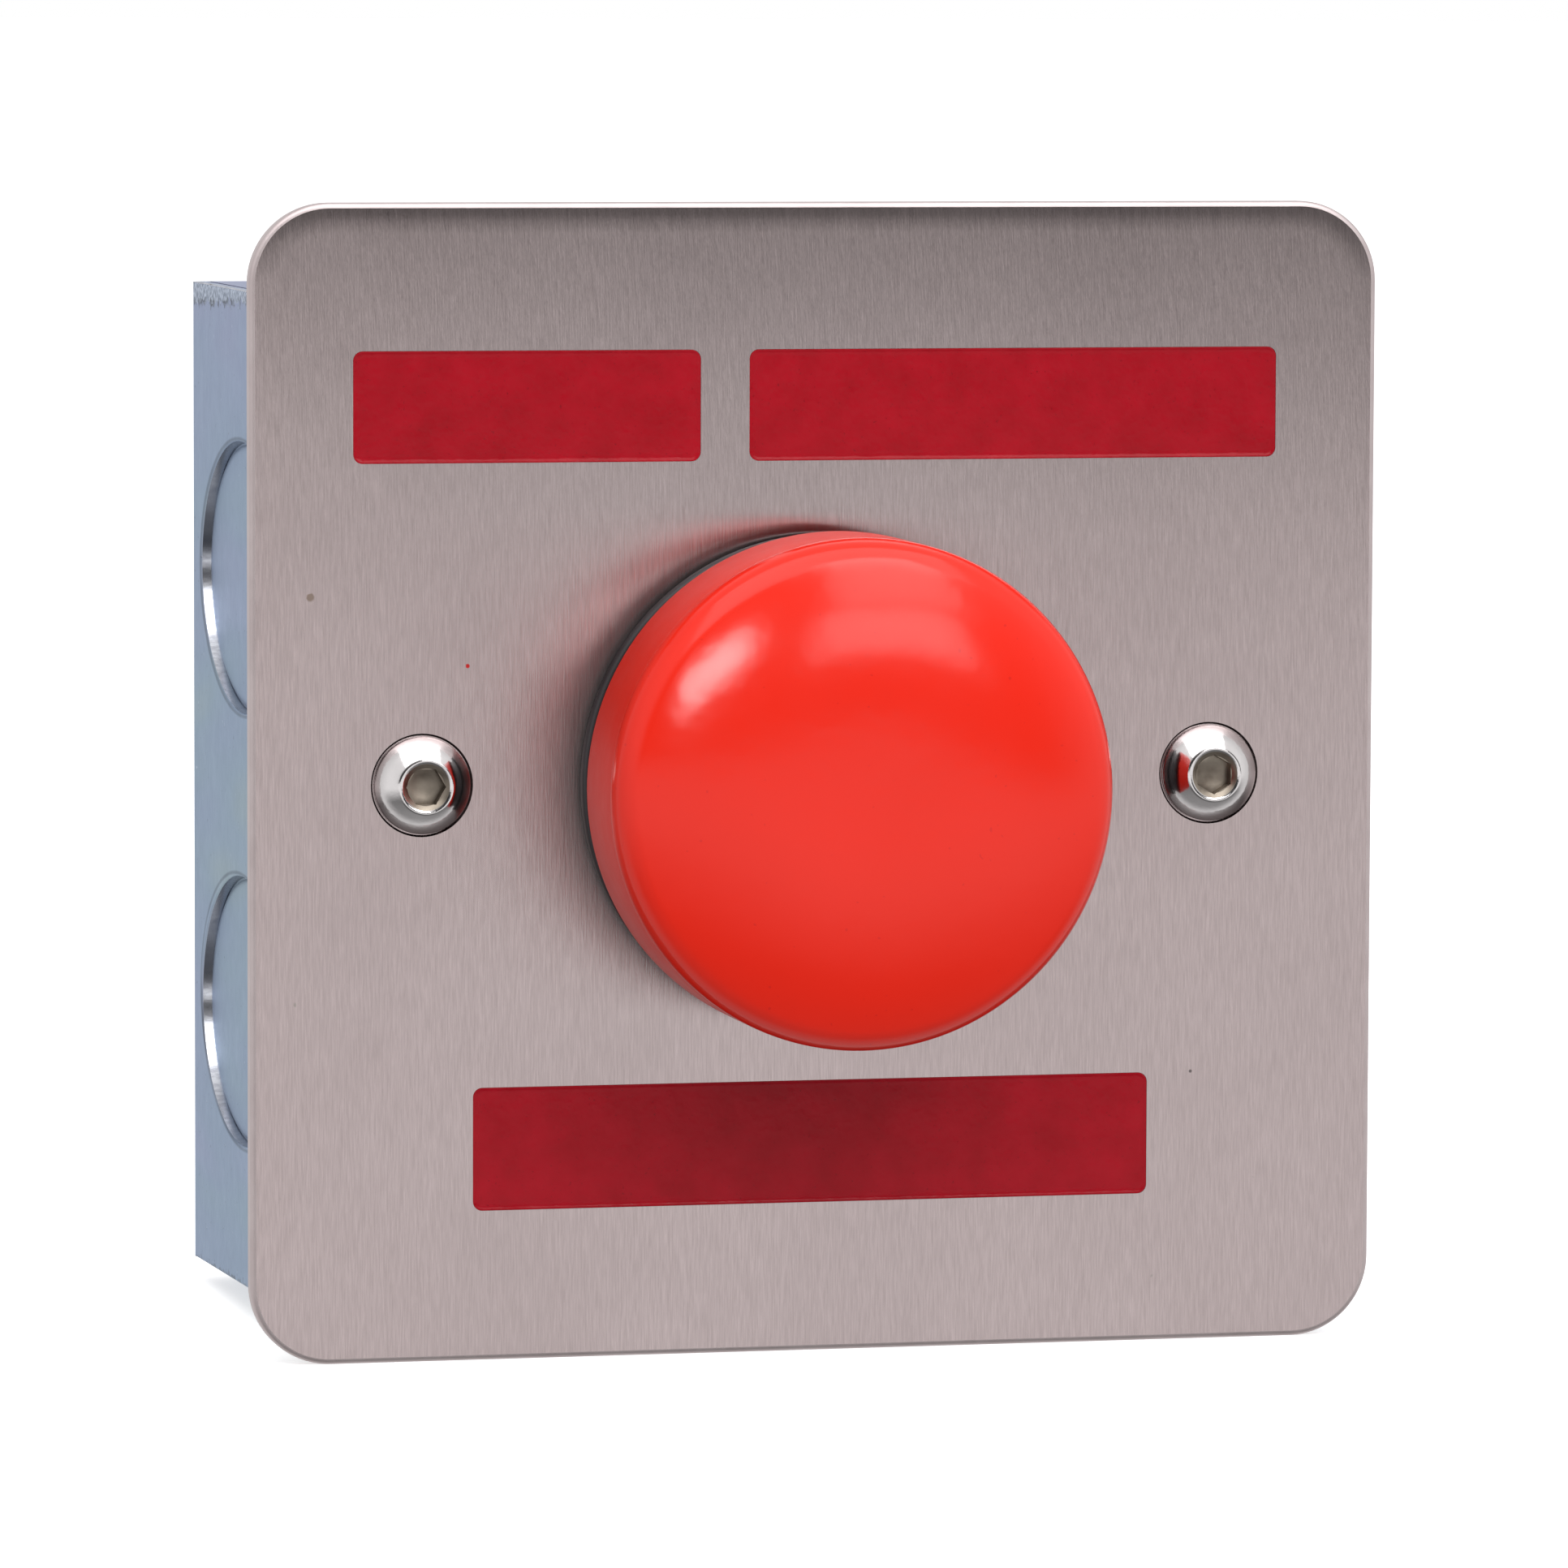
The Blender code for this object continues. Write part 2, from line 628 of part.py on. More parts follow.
def make_fastening():
    """Gasket in front of the plate, notched washer and hexagonal nut behind it."""
    turned("sealing_gasket", ring_profile(GASKET_BORE, GASKET_RADIUS, GASKET_DEPTH), RUBBER)
    washer = turned("lock_washer", ring_profile(CLAMP_BORE, WASHER_RADIUS, WASHER_DEPTH), ZINC)
    notches = []
    for index in range(WASHER_NOTCHES):
        span_x = (WASHER_RADIUS - NOTCH_DEPTH, WASHER_RADIUS + NOTCH_DEPTH)
        span_depth = (WASHER_DEPTH[0] - GAP, WASHER_DEPTH[1] + GAP)
        notch = block(span_x, span_depth, (-NOTCH_HALF_WIDTH, NOTCH_HALF_WIDTH))
        turn = Matrix.Rotation(math.tau * (index + 0.5) / WASHER_NOTCHES, 3, "Y")
        bmesh.ops.rotate(notch, cent=(0, 0, 0), matrix=turn, verts=notch.verts)
        notches.append(notch)
    cut(washer, "washer_notches", together(notches))
    blank = cylinder(NUT_FLATS / math.sqrt(3), NUT_DEPTH, steps=6)
    for face in NUT_DEPTH:
        blank = bevel_rim(blank, face, NUT_EDGE, 2)
    nut = add_solid("clamping_nut", blank, BLACK_PLASTIC)
    bore = (NUT_DEPTH[0] - GAP, NUT_DEPTH[1] + GAP)
    cut(nut, "nut_bore", cylinder(CLAMP_BORE, bore, steps=ROUND_STEPS))


# Contact block and its carrier


def pan_screw(name, head, shank_end, x, z, look):
    """Screw driven from the wall side: its head lies between two depths and its shank runs forward."""
    profile = [
        (0, head[0]),
        (PAN_HEAD_RADIUS - PAN_HEAD_EDGE, head[0]),
        (PAN_HEAD_RADIUS, head[0] + PAN_HEAD_EDGE),
        (PAN_HEAD_RADIUS, head[1]),
        (SMALL_SCREW_RADIUS, head[1]),
        (SMALL_SCREW_RADIUS, shank_end),
        (0, shank_end),
    ]
    screw = turned(name, profile, look, x, z, SMALL_STEPS)
    slot_x = (x - PAN_HEAD_RADIUS - GAP, x + PAN_HEAD_RADIUS + GAP)
    slot_depth = (head[0] - GAP, head[0] + DRIVER_SLOT_DEPTH)
    slot_z = (z - DRIVER_SLOT_HALF_WIDTH, z + DRIVER_SLOT_HALF_WIDTH)
    cut(screw, name + "_slot", block(slot_x, slot_depth, slot_z))


def make_carrier():
    profile = [
        (CARRIER_BORE, CARRIER_REAR),
        (CARRIER_RADIUS, CARRIER_REAR),
        (CARRIER_RADIUS, CARRIER_RIM),
        (CLAMP_BORE, CARRIER_RIM),
        (CLAMP_BORE, CARRIER_FLOOR),
        (CARRIER_BORE, CARRIER_FLOOR),
    ]
    carrier = turned("switch_carrier", profile, GREY_PLASTIC)
    through = (CARRIER_REAR - BLOCK_WALL, CARRIER_FLOOR + BLOCK_WALL)
    holes = [cylinder(SMALL_HOLE_RADIUS, through, 0, side * CARRIER_SCREW_Z) for side in (-1, 1)]
    cut(carrier, "carrier_screw_holes", together(holes))
    lock_spot = place(0, LOCK_SCREW_DEPTH, 0)
    lock_hole = cylinder(SMALL_HOLE_RADIUS, (CLAMP_BORE - BLOCK_WALL, CARRIER_RADIUS + BLOCK_WALL))
    cut(carrier, "carrier_lock_hole", turned_towards(lock_hole, (0, 0, 1), lock_spot))
    grub = turned_towards(cylinder(SMALL_SCREW_RADIUS, LOCK_SCREW_Z), (0, 0, 1), lock_spot)
    screw = add_solid("carrier_lock_screw", grub, SPRING_STEEL)
    slot_x = (-2 * SMALL_SCREW_RADIUS, 2 * SMALL_SCREW_RADIUS)
    slot_depth = (LOCK_SCREW_DEPTH - DRIVER_SLOT_HALF_WIDTH, LOCK_SCREW_DEPTH + DRIVER_SLOT_HALF_WIDTH)
    slot_z = (LOCK_SCREW_Z[1] - DRIVER_SLOT_DEPTH, LOCK_SCREW_Z[1] + GAP)
    cut(screw, "carrier_lock_screw_slot", block(slot_x, slot_depth, slot_z))
    head = (BLOCK_INSIDE - GAP - PAN_HEAD_HEIGHT, BLOCK_INSIDE - GAP)
    shank_end = CARRIER_FLOOR - 3 * GAP
    pan_screw("carrier_screw_upper", head, shank_end, 0, CARRIER_SCREW_Z, SPRING_STEEL)
    pan_screw("carrier_screw_lower", head, shank_end, 0, -CARRIER_SCREW_Z, SPRING_STEEL)


def make_block_housing():
    shell = block((-BLOCK_X, BLOCK_X), (BLOCK_REAR, BLOCK_FRONT), (-BLOCK_Z, BLOCK_Z))
    housing = add_solid("block_housing", bevel_all(shell, BLOCK_EDGE, 2), CREAM_PLASTIC)
    ears = block((-EAR_X, EAR_X), (BLOCK_INSIDE, BLOCK_FRONT - GAP / 5), (-EAR_Z, EAR_Z))
    join(housing, "block_ears", ears)
    inner_x = BLOCK_X - BLOCK_WALL
    inner_z = BLOCK_Z - BLOCK_WALL
    hollow_depth = (BLOCK_REAR - BLOCK_WALL, BLOCK_INSIDE)
    cut(housing, "block_hollow", block((-inner_x, inner_x), hollow_depth, (-inner_z, inner_z)))
    front_wall = (BLOCK_INSIDE - BLOCK_WALL, BLOCK_FRONT + BLOCK_WALL)
    posts = []
    openings = [cylinder(PLUNGER_HOLE_RADIUS, front_wall)]
    for side in (-1, 1):
        post_x = (side * POST_X[0], side * POST_X[1])
        posts.append(block(post_x, (POST_REAR, BLOCK_INSIDE + BLOCK_EDGE), (-POST_Z, POST_Z)))
        openings.append(cylinder(SMALL_HOLE_RADIUS, (POST_REAR - GAP, POST_BORE_END), side * TERMINAL_X))
        openings.append(cylinder(SMALL_HOLE_RADIUS, front_wall, 0, side * CARRIER_SCREW_Z))
        slot_x = (side * WIRE_SLOT_X[0], side * WIRE_SLOT_X[1])
        openings.append(block(slot_x, WIRE_SLOT_DEPTH, (-BLOCK_Z - BLOCK_WALL, GAP - inner_z)))
    join(housing, "block_posts", together(posts))
    cut(housing, "block_openings", together(openings))


def make_block_cover():
    plate = block((-BLOCK_X, BLOCK_X), COVER_DEPTH, (-BLOCK_Z, BLOCK_Z))
    cover = add_solid("block_cover", bevel_all(plate, BLOCK_EDGE, 2), CREAM_PLASTIC)
    through = (COVER_DEPTH[0] - BLOCK_WALL, COVER_DEPTH[1] + BLOCK_WALL)
    access = [cylinder(COVER_ACCESS_RADIUS, through, side * TERMINAL_X) for side in (-1, 1)]
    cut(cover, "cover_access", together(access))


def make_switch_plunger():
    profile = [
        (0, PLUNGER_ROD_END),
        (PLUNGER_ROD_RADIUS, PLUNGER_ROD_END),
        (PLUNGER_ROD_RADIUS, PLUNGER_NECK[0]),
        (PLUNGER_NECK_RADIUS, PLUNGER_NECK[0]),
        (PLUNGER_NECK_RADIUS, PLUNGER_NECK[1]),
        (PLUNGER_FLANGE_RADIUS, PLUNGER_NECK[1]),
        (PLUNGER_FLANGE_RADIUS, PLUNGER_FLANGE_FRONT),
        (PLUNGER_TIP_RADIUS, PLUNGER_FLANGE_FRONT),
        (PLUNGER_TIP_RADIUS, STEM_TIP - GAP),
        (0, STEM_TIP - GAP),
    ]
    return turned("switch_plunger", profile, RED_GLOSS, steps=SMALL_STEPS)


def strip(name, x, depth, look):
    """Thin metal strip across the contact block."""
    return add_solid(name, bevel_all(block(x, depth, (-STRIP_Z, STRIP_Z)), STRIP_EDGE, 1), look)


def make_moving_bridge():
    bridge = strip("moving_bridge", (-BRIDGE_X, BRIDGE_X), BRIDGE_DEPTH, BRASS)
    rivet = (BRIDGE_DEPTH[0] - RIVET_RISE, BRIDGE_DEPTH[0] + GAP)
    rivets = [cylinder(RIVET_RADIUS, rivet, side * RIVET_X, 0, RIVET_STEPS) for side in (-1, 1)]
    join(bridge, "bridge_rivets", together(rivets))
    through = (BRIDGE_DEPTH[0] - RIVET_RISE, BRIDGE_DEPTH[1] + GAP)
    cut(bridge, "bridge_bore", cylinder(BRIDGE_HOLE_RADIUS, through))
    return bridge


def make_terminal(side_name, side):
    """Fixed contact strip with the clamp washer and screw that hold a wire on it."""
    x = side * TERMINAL_X
    contact_x = (side * STRIP_X[0], side * STRIP_X[1])
    contact = strip("fixed_contact_" + side_name, contact_x, STRIP_DEPTH, BRASS)
    rivet = (STRIP_DEPTH[1] - GAP, STRIP_DEPTH[1] + RIVET_RISE)
    join(contact, "fixed_rivet_" + side_name, cylinder(RIVET_RADIUS, rivet, side * RIVET_X, 0, RIVET_STEPS))
    through = (CLAMP_DEPTH[0] - GAP, STRIP_DEPTH[1] + GAP)
    cut(contact, "fixed_bore_" + side_name, cylinder(SMALL_HOLE_RADIUS, through, x))
    clamp_x = (side * CLAMP_X[0], side * CLAMP_X[1])
    clamp = strip("clamp_washer_" + side_name, clamp_x, CLAMP_DEPTH, ZINC)
    cut(clamp, "clamp_bore_" + side_name, cylinder(SMALL_HOLE_RADIUS, through, x))
    head = (CLAMP_DEPTH[0] - GAP - PAN_HEAD_HEIGHT, CLAMP_DEPTH[0] - GAP)
    pan_screw("terminal_screw_" + side_name, head, TERMINAL_SCREW_END, x, 0, ZINC)


# Earth terminal


def make_earth_terminal():
    across = (EARTH_X - EARTH_HALF_SIDE, EARTH_X + EARTH_HALF_SIDE)
    up = (EARTH_Z - EARTH_HALF_SIDE, EARTH_Z + EARTH_HALF_SIDE)
    bar = add_solid("earth_terminal", bevel_all(block(across, EARTH_DEPTH, up), EARTH_EDGE, 1), BRASS)
    wire_bore = cylinder(EARTH_BORE_RADIUS, (-2 * EARTH_HALF_SIDE, 2 * EARTH_HALF_SIDE))
    wire_spot = place(EARTH_X, EARTH_WIRE_DEPTH, EARTH_Z)
    cut(bar, "earth_wire_bore", turned_towards(wire_bore, (1, 0, 0), wire_spot))
    screw_bore = (EARTH_WIRE_DEPTH, EARTH_DEPTH[1] + GAP)
    cut(bar, "earth_screw_bore", cylinder(EARTH_BORE_RADIUS, screw_bore, EARTH_X, EARTH_Z))
    head = EARTH_DEPTH[1] + GAP
    crown = head + PAN_HEAD_HEIGHT
    profile = [
        (0, EARTH_SCREW_END),
        (SMALL_SCREW_RADIUS, EARTH_SCREW_END),
        (SMALL_SCREW_RADIUS, head),
        (EARTH_HEAD_RADIUS, head),
        (EARTH_HEAD_RADIUS, crown - PAN_HEAD_EDGE),
        (EARTH_HEAD_RADIUS - PAN_HEAD_EDGE, crown),
        (0, crown),
    ]
    screw = turned("earth_screw", profile, ZINC, EARTH_X, EARTH_Z, SMALL_STEPS)
    slot_x = (EARTH_X - 2 * EARTH_HEAD_RADIUS, EARTH_X + 2 * EARTH_HEAD_RADIUS)
    slot_z = (EARTH_Z - DRIVER_SLOT_HALF_WIDTH, EARTH_Z + DRIVER_SLOT_HALF_WIDTH)
    cut(screw, "earth_screw_slot", block(slot_x, (crown - DRIVER_SLOT_DEPTH, crown + GAP), slot_z))


def slide_with(name, depth, children):
    """Empty on the button's axis that carries the pieces of one moving group."""
    empty = bpy.data.objects.new(name, None)
    empty.location = place(0, depth, 0)
    part_collection.objects.link(empty)
    for child in children:
        child.parent = empty
        child.matrix_parent_inverse = Matrix.Translation(-empty.location)


clear_scene()
part_collection = new_collection("alarm_silence_push_button")
cutter_collection = new_collection("cutters")
cutter_collection.hide_render = True

make_back_box()
make_lugs()
make_earth_terminal()
make_face_plate()
make_plate_screw("plate_screw_left", -1, 0.0)
make_plate_screw("plate_screw_right", 1, math.pi / 6)
make_bezel_body()
make_fastening()
make_carrier()
make_block_housing()
make_block_cover()
make_terminal("left", -1)
make_terminal("right", 1)
slide_with("button_slide", HEAD_REAR, [make_button_head(), make_push_stem(), make_stem_clip()])
slide_with("plunger_slide", PLUNGER_FLANGE_FRONT, [make_switch_plunger(), make_moving_bridge()])
return_seat = (WEB_FRONT + GAP, STEM_FLANGE[0] - GAP)
coil("return_spring", RETURN_COIL_RADIUS, RETURN_WIRE_RADIUS, return_seat, RETURN_TURNS)
contact_seat = (COVER_DEPTH[1] + GAP, BRIDGE_DEPTH[0] - GAP)
coil("contact_spring", CONTACT_COIL_RADIUS, CONTACT_WIRE_RADIUS, contact_seat, CONTACT_TURNS)
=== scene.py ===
"""Looks of the alarm silence push button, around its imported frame. Metres, +Z up, button towards -Y."""

import functools
import math

import bmesh
import bpy
from mathutils import Matrix, Vector


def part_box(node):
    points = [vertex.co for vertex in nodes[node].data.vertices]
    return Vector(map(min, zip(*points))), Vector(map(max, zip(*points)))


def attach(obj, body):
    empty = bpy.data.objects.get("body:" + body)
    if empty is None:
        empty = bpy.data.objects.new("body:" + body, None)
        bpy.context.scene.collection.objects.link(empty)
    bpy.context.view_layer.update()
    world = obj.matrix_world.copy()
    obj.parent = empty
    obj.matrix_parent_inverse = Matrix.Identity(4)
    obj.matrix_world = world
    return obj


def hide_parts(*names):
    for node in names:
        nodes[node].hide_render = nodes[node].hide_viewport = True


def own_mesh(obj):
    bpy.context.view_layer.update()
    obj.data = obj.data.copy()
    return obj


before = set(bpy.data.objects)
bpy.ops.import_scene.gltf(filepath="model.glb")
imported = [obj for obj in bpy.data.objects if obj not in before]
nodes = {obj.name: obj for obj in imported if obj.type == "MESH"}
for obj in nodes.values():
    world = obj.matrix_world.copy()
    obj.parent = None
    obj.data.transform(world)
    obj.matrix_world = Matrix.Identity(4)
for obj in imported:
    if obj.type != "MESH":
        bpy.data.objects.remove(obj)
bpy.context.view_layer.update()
BODY = "plate_and_box"

plate_low, plate_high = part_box("face_plate")
PLATE_FRONT = plate_low.y
PLATE_REAR = plate_high.y
PLATE_HALF = plate_high.x

box_low, box_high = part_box("back_box")
BOX_X = (box_low.x + box_high.x) / 2
BOX_HALF = (box_high.x - box_low.x) / 2
BOX_DEPTH = -box_low.y
BOX_Z = box_high.z - BOX_HALF
# how far the lower wall leans in at its front
LEAN = 0.0015
# the knockouts of the side walls: centre, and how much longer than high
SIDE_DISC_Y = -0.0232
SIDE_DISC_Z = (BOX_Z - 0.0174, BOX_Z + 0.0166)
SIDE_DISC_STRETCH = 1.78


# ---------------------------------------------------------------- shapes


def smooth(mesh, angle=40):
    """Smooth shading except at edges sharper than the angle."""
    mesh.shade_smooth()
    mesh.set_sharp_from_angle(angle=math.radians(angle))


def in_scene(obj):
    bpy.context.scene.collection.objects.link(obj)
    return obj


def finish_mesh(name, bm, material, angle=40, weighted=False):
    """New smooth object from a bmesh, which it uses up."""
    bmesh.ops.recalc_face_normals(bm, faces=bm.faces)
    mesh = bpy.data.meshes.new(name)
    bm.to_mesh(mesh)
    bm.free()
    smooth(mesh, angle)
    obj = in_scene(bpy.data.objects.new(name, mesh))
    if material:
        mesh.materials.append(material)
    if weighted:
        step = obj.modifiers.new("Weighted normals", "WEIGHTED_NORMAL")
        step.keep_sharp = True
    return obj


def boolean(target, operation, bm):
    """Applies one exact Boolean to the target's mesh, before its modifiers; the tool is thrown away."""
    tool = finish_mesh("tool", bm, None)
    bare = in_scene(bpy.data.objects.new("bare", target.data))
    step = bare.modifiers.new("Boolean", "BOOLEAN")
    step.operation = operation
    step.object = tool
    step.solver = "EXACT"
    graph = bpy.context.evaluated_depsgraph_get()
    mesh = bpy.data.meshes.new_from_object(bare.evaluated_get(graph), depsgraph=graph)
    bpy.data.objects.remove(bare, do_unlink=True)
    bpy.data.objects.remove(tool, do_unlink=True)
    old = target.data
    mesh.name = target.name
    target.data = mesh
    bpy.data.meshes.remove(old)


def block(x, y, z):
    """Box between two values on each axis."""
    bm = bmesh.new()
    bmesh.ops.create_cube(bm, size=1.0)
    bmesh.ops.scale(bm, vec=[abs(b - a) for a, b in (x, y, z)], verts=bm.verts)
    bmesh.ops.translate(bm, vec=[(a + b) / 2 for a, b in (x, y, z)], verts=bm.verts)
    return bm


def bevel(bm, edges, offset, segments):
    bmesh.ops.bevel(bm, geom=edges, offset=offset, segments=segments, profile=0.5, affect="EDGES")


def fillet(points, segments):
    """(a, b, radius) corners of a profile, each rounded by its radius, as plain (a, b) points."""
    out = []
    for i, corner in enumerate(points):
        here = Vector(corner[:2])
        radius = corner[2] if len(corner) > 2 else 0.0
        if not radius or i in (0, len(points) - 1):
            out.append(tuple(here))
            continue
        before = (Vector(points[i - 1][:2]) - here).normalized()
        after = (Vector(points[i + 1][:2]) - here).normalized()
        half = math.acos(max(-1.0, min(1.0, before.dot(after)))) / 2
        if abs(half - math.pi / 2) < 1e-4:
            out.append(tuple(here))
            continue
        reach = radius / math.tan(half)
        start = here + before * reach
        end = here + after * reach
        centre = here + (before + after).normalized() * radius / math.sin(half)
        first = start - centre
        last = end - centre
        sweep = math.atan2(first.x * last.y - first.y * last.x, first.dot(last))
        for k in range(segments + 1):
            a = sweep * k / segments
            out.append((
                centre.x + first.x * math.cos(a) - first.y * math.sin(a),
                centre.y + first.x * math.sin(a) + first.y * math.cos(a),
            ))
    return out


def lathe(profile, steps, closed=False):
    """Profile of (radius, y) points turned about the Y axis."""
    bm = bmesh.new()
    rings = []
    for radius, y in profile:
        if radius < 1e-7:
            rings.append([bm.verts.new((0, y, 0))])
            continue
        ring = []
        for k in range(steps):
            a = math.tau * k / steps
            ring.append(bm.verts.new((radius * math.cos(a), y, radius * math.sin(a))))
        rings.append(ring)
    for lower, upper in zip(rings, rings[1:] + rings[:1] if closed else rings[1:]):
        for k in range(steps):
            a, b = lower[k % len(lower)], lower[(k + 1) % len(lower)]
            c, d = upper[(k + 1) % len(upper)], upper[k % len(upper)]
            corners = [v for i, v in enumerate((a, b, c, d)) if v not in (a, b, c, d)[:i]]
            if len(corners) > 2:
                bm.faces.new(corners)
    return bm


def moved(bm, x=0.0, y=0.0, z=0.0):
    bmesh.ops.translate(bm, vec=(x, y, z), verts=bm.verts)
    return bm


def together(parts):
    """One bmesh from several, which it uses up."""
    whole = bmesh.new()
    for bm in parts:
        scratch = bpy.data.meshes.new("scratch")
        bm.to_mesh(scratch)
        bm.free()
        whole.from_mesh(scratch)
        bpy.data.meshes.remove(scratch)
    return whole


def rounded_outline(half_x, half_z, radius, segments, centre=(0.0, 0.0)):
    """(x, z) points of a rectangle with round corners."""
    points = []
    for quarter, (sx, sz) in enumerate(((1, 1), (-1, 1), (-1, -1), (1, -1))):
        for k in range(segments + 1):
            a = math.pi / 2 * (quarter + k / segments)
            points.append((
                centre[0] + sx * (half_x - radius) + radius * math.cos(a),
                centre[1] + sz * (half_z - radius) + radius * math.sin(a),
            ))
    return points


def stack(layers):
    """Closed solid through outlines of equal count: (points, y) from the first layer to the last."""
    bm = bmesh.new()
    rings = [[bm.verts.new((x, y, z)) for x, z in points] for points, y in layers]
    for lower, upper in zip(rings, rings[1:]):
        count = len(lower)
        for k in range(count):
            bm.faces.new((lower[k], lower[(k + 1) % count], upper[(k + 1) % count], upper[k]))
    bm.faces.new(rings[0])
    bm.faces.new(rings[-1])
    return bm


# ---------------------------------------------------------------- materials


def add_node(tree, kind, inputs=(), **settings):
    """A shader node with its settings and inputs; an input is a value or a socket to link."""
    node = tree.nodes.new("ShaderNode" + kind)
    for key, value in settings.items():
        setattr(node, key, value)
    for key, value in dict(inputs).items():
        if isinstance(value, bpy.types.NodeSocket):
            tree.links.new(value, node.inputs[key])
        else:
            node.inputs[key].default_value = value
    return node


def fill_ramp(node, stops):
    """Colour stops of (position, colour)."""
    elements = node.color_ramp.elements
    while len(elements) < len(stops):
        elements.new(0.5)
    for element, (position, colour) in zip(elements, stops):
        element.position = position
        element.color = (*colour, 1.0)
    return node.outputs["Color"]


class Look:
    """Small builder for a Principled material in object coordinates."""

    def __init__(self, name, roughness=0.4, metallic=0.0, **sockets):
        self.material = bpy.data.materials.new(name)
        self.material.use_nodes = True
        self.tree = self.material.node_tree
        self.node = functools.partial(add_node, self.tree)
        self.shader = self.tree.nodes["Principled BSDF"]
        self.set("Roughness", roughness)
        self.set("Metallic", metallic)
        for socket, value in sockets.items():
            self.set(socket.replace("_", " "), value)
        self.coordinates = self.node("TexCoord").outputs["Object"]
        self.normal = None

    def set(self, socket, value):
        if isinstance(value, bpy.types.NodeSocket):
            self.tree.links.new(value, self.shader.inputs[socket])
        else:
            self.shader.inputs[socket].default_value = value

    def stretched(self, scale):
        """Object coordinates with a different number of cells per metre along each axis."""
        return self.node("Mapping", {"Vector": self.coordinates, "Scale": scale}).outputs["Vector"]

    def noise(self, scale, detail=2.0, roughness=0.5, distortion=0.0):
        """Noise from 0 to 1; scale is cells per metre, one number or three."""
        vector = self.coordinates
        size = scale
        if not isinstance(scale, (int, float)):
            vector = self.stretched(scale)
            size = 1.0
        inputs = {"Vector": vector, "Scale": size, "Detail": detail}
        inputs |= {"Roughness": roughness, "Distortion": distortion}
        return self.node("TexNoise", inputs).outputs["Fac"]

    def ramp(self, fac, *stops):
        """Colour ramp of (position, colour)."""
        return fill_ramp(self.node("ValToRGB", {"Fac": fac}), stops)

    def clouded(self, cells, low, high):
        """A base colour that wanders between two close colours."""
        return self.ramp(self.noise(cells, detail=3.0), (0.3, low), (0.7, high))

    def spread(self, fac, low, high, start=0.0, end=1.0):
        """Low to high as the factor goes from start to end."""
        inputs = {"Value": fac, "From Min": start, "From Max": end, "To Min": low, "To Max": high}
        return self.node("MapRange", inputs).outputs["Result"]

    def mix(self, fac, first, second):
        """Colour between first and second; sockets are linked, tuples are colours."""
        first, second = ((*c, 1.0) if isinstance(c, tuple) else c for c in (first, second))
        return self.node("Mix", {0: fac, 6: first, 7: second}, data_type="RGBA").outputs[2]

    def maths(self, operation, first, second=0.0):
        return self.node("Math", {0: first, 1: second}, operation=operation).outputs[0]

    def distance(self, first, second):
        return self.node("VectorMath", {0: first, 1: second}, operation="DISTANCE").outputs["Value"]

    def spot(self, x, z, radius):
        """1 within the radius of a point of the front, seen along Y, fading to 0 at its ragged rim."""
        away = self.distance(self.stretched((1, 0, 1)), (x, 0, z))
        ragged = self.maths("ADD", away, self.spread(self.noise(4000), -radius / 3, radius / 3))
        return self.spread(ragged, 1.0, 0.0, radius * 0.7, radius)

    def bump(self, height, distance):
        inputs = {"Height": height, "Distance": distance, "Strength": 1.0}
        if self.normal:
            inputs["Normal"] = self.normal
        self.normal = self.node("Bump", inputs).outputs["Normal"]
        self.set("Normal", self.normal)


# (x, z, radius, colour) of small blemishes on the plate
PLATE_MARKS = (
    (-0.0385, 0.0140, 0.00034, (0.26, 0.20, 0.17)),
    (-0.0267, 0.0088, 0.00018, (0.50, 0.03, 0.03)),
    (-0.0180, -0.0292, 0.00016, (0.12, 0.10, 0.10)),
    (0.0289, -0.0226, 0.00014, (0.14, 0.12, 0.12)),
)


def brushed_stainless():
    look = Look("brushed_stainless", metallic=1.0, Anisotropic=0.97)
    grain = look.noise((8500, 8500, 480), detail=3.0, roughness=0.65)
    coarse = look.noise((1800, 1800, 120), detail=2.0)
    base = look.clouded(60, (0.44, 0.366, 0.365), (0.48, 0.401, 0.399))
    streaked = look.mix(look.spread(grain, 0.0, 0.62, 0.3, 0.7), base, (0.32, 0.265, 0.262))
    streaked = look.mix(look.spread(coarse, 0.0, 0.11, 0.35, 0.7), streaked, (0.52, 0.44, 0.44))
    fleck = look.noise(900, detail=1.0)
    marks = look.spread(fleck, 0.0, 1.0, 0.80, 0.84)
    marked = look.mix(marks, streaked, (0.30, 0.27, 0.25))
    for x, z, radius, colour in PLATE_MARKS:
        marked = look.mix(look.spot(x, z, radius), marked, colour)
    look.set("Base Color", marked)
    rough = look.maths("ADD", look.spread(grain, 0.18, 0.235), look.spread(coarse, -0.02, 0.02))
    look.set("Roughness", rough)
    look.set("Tangent", look.node("Tangent", direction_type="RADIAL", axis="Z").outputs["Tangent"])
    look.bump(grain, 0.000008)
    return look.material


def red_enamel():
    look = Look("red_enamel", Specular_IOR_Level=0.15)
    base = look.clouded(350, (0.32, 0.003, 0.010), (0.39, 0.004, 0.014))
    pits = look.noise(5200, detail=1.0)
    look.set("Base Color", look.mix(look.spread(pits, 0.0, 0.6, 0.70, 0.78), base, (0.16, 0.003, 0.008)))
    look.set("Roughness", look.spread(look.noise(1800, detail=2.0), 0.14, 0.30))
    look.bump(look.noise(1500, detail=2.0), 0.00003)
    return look.material


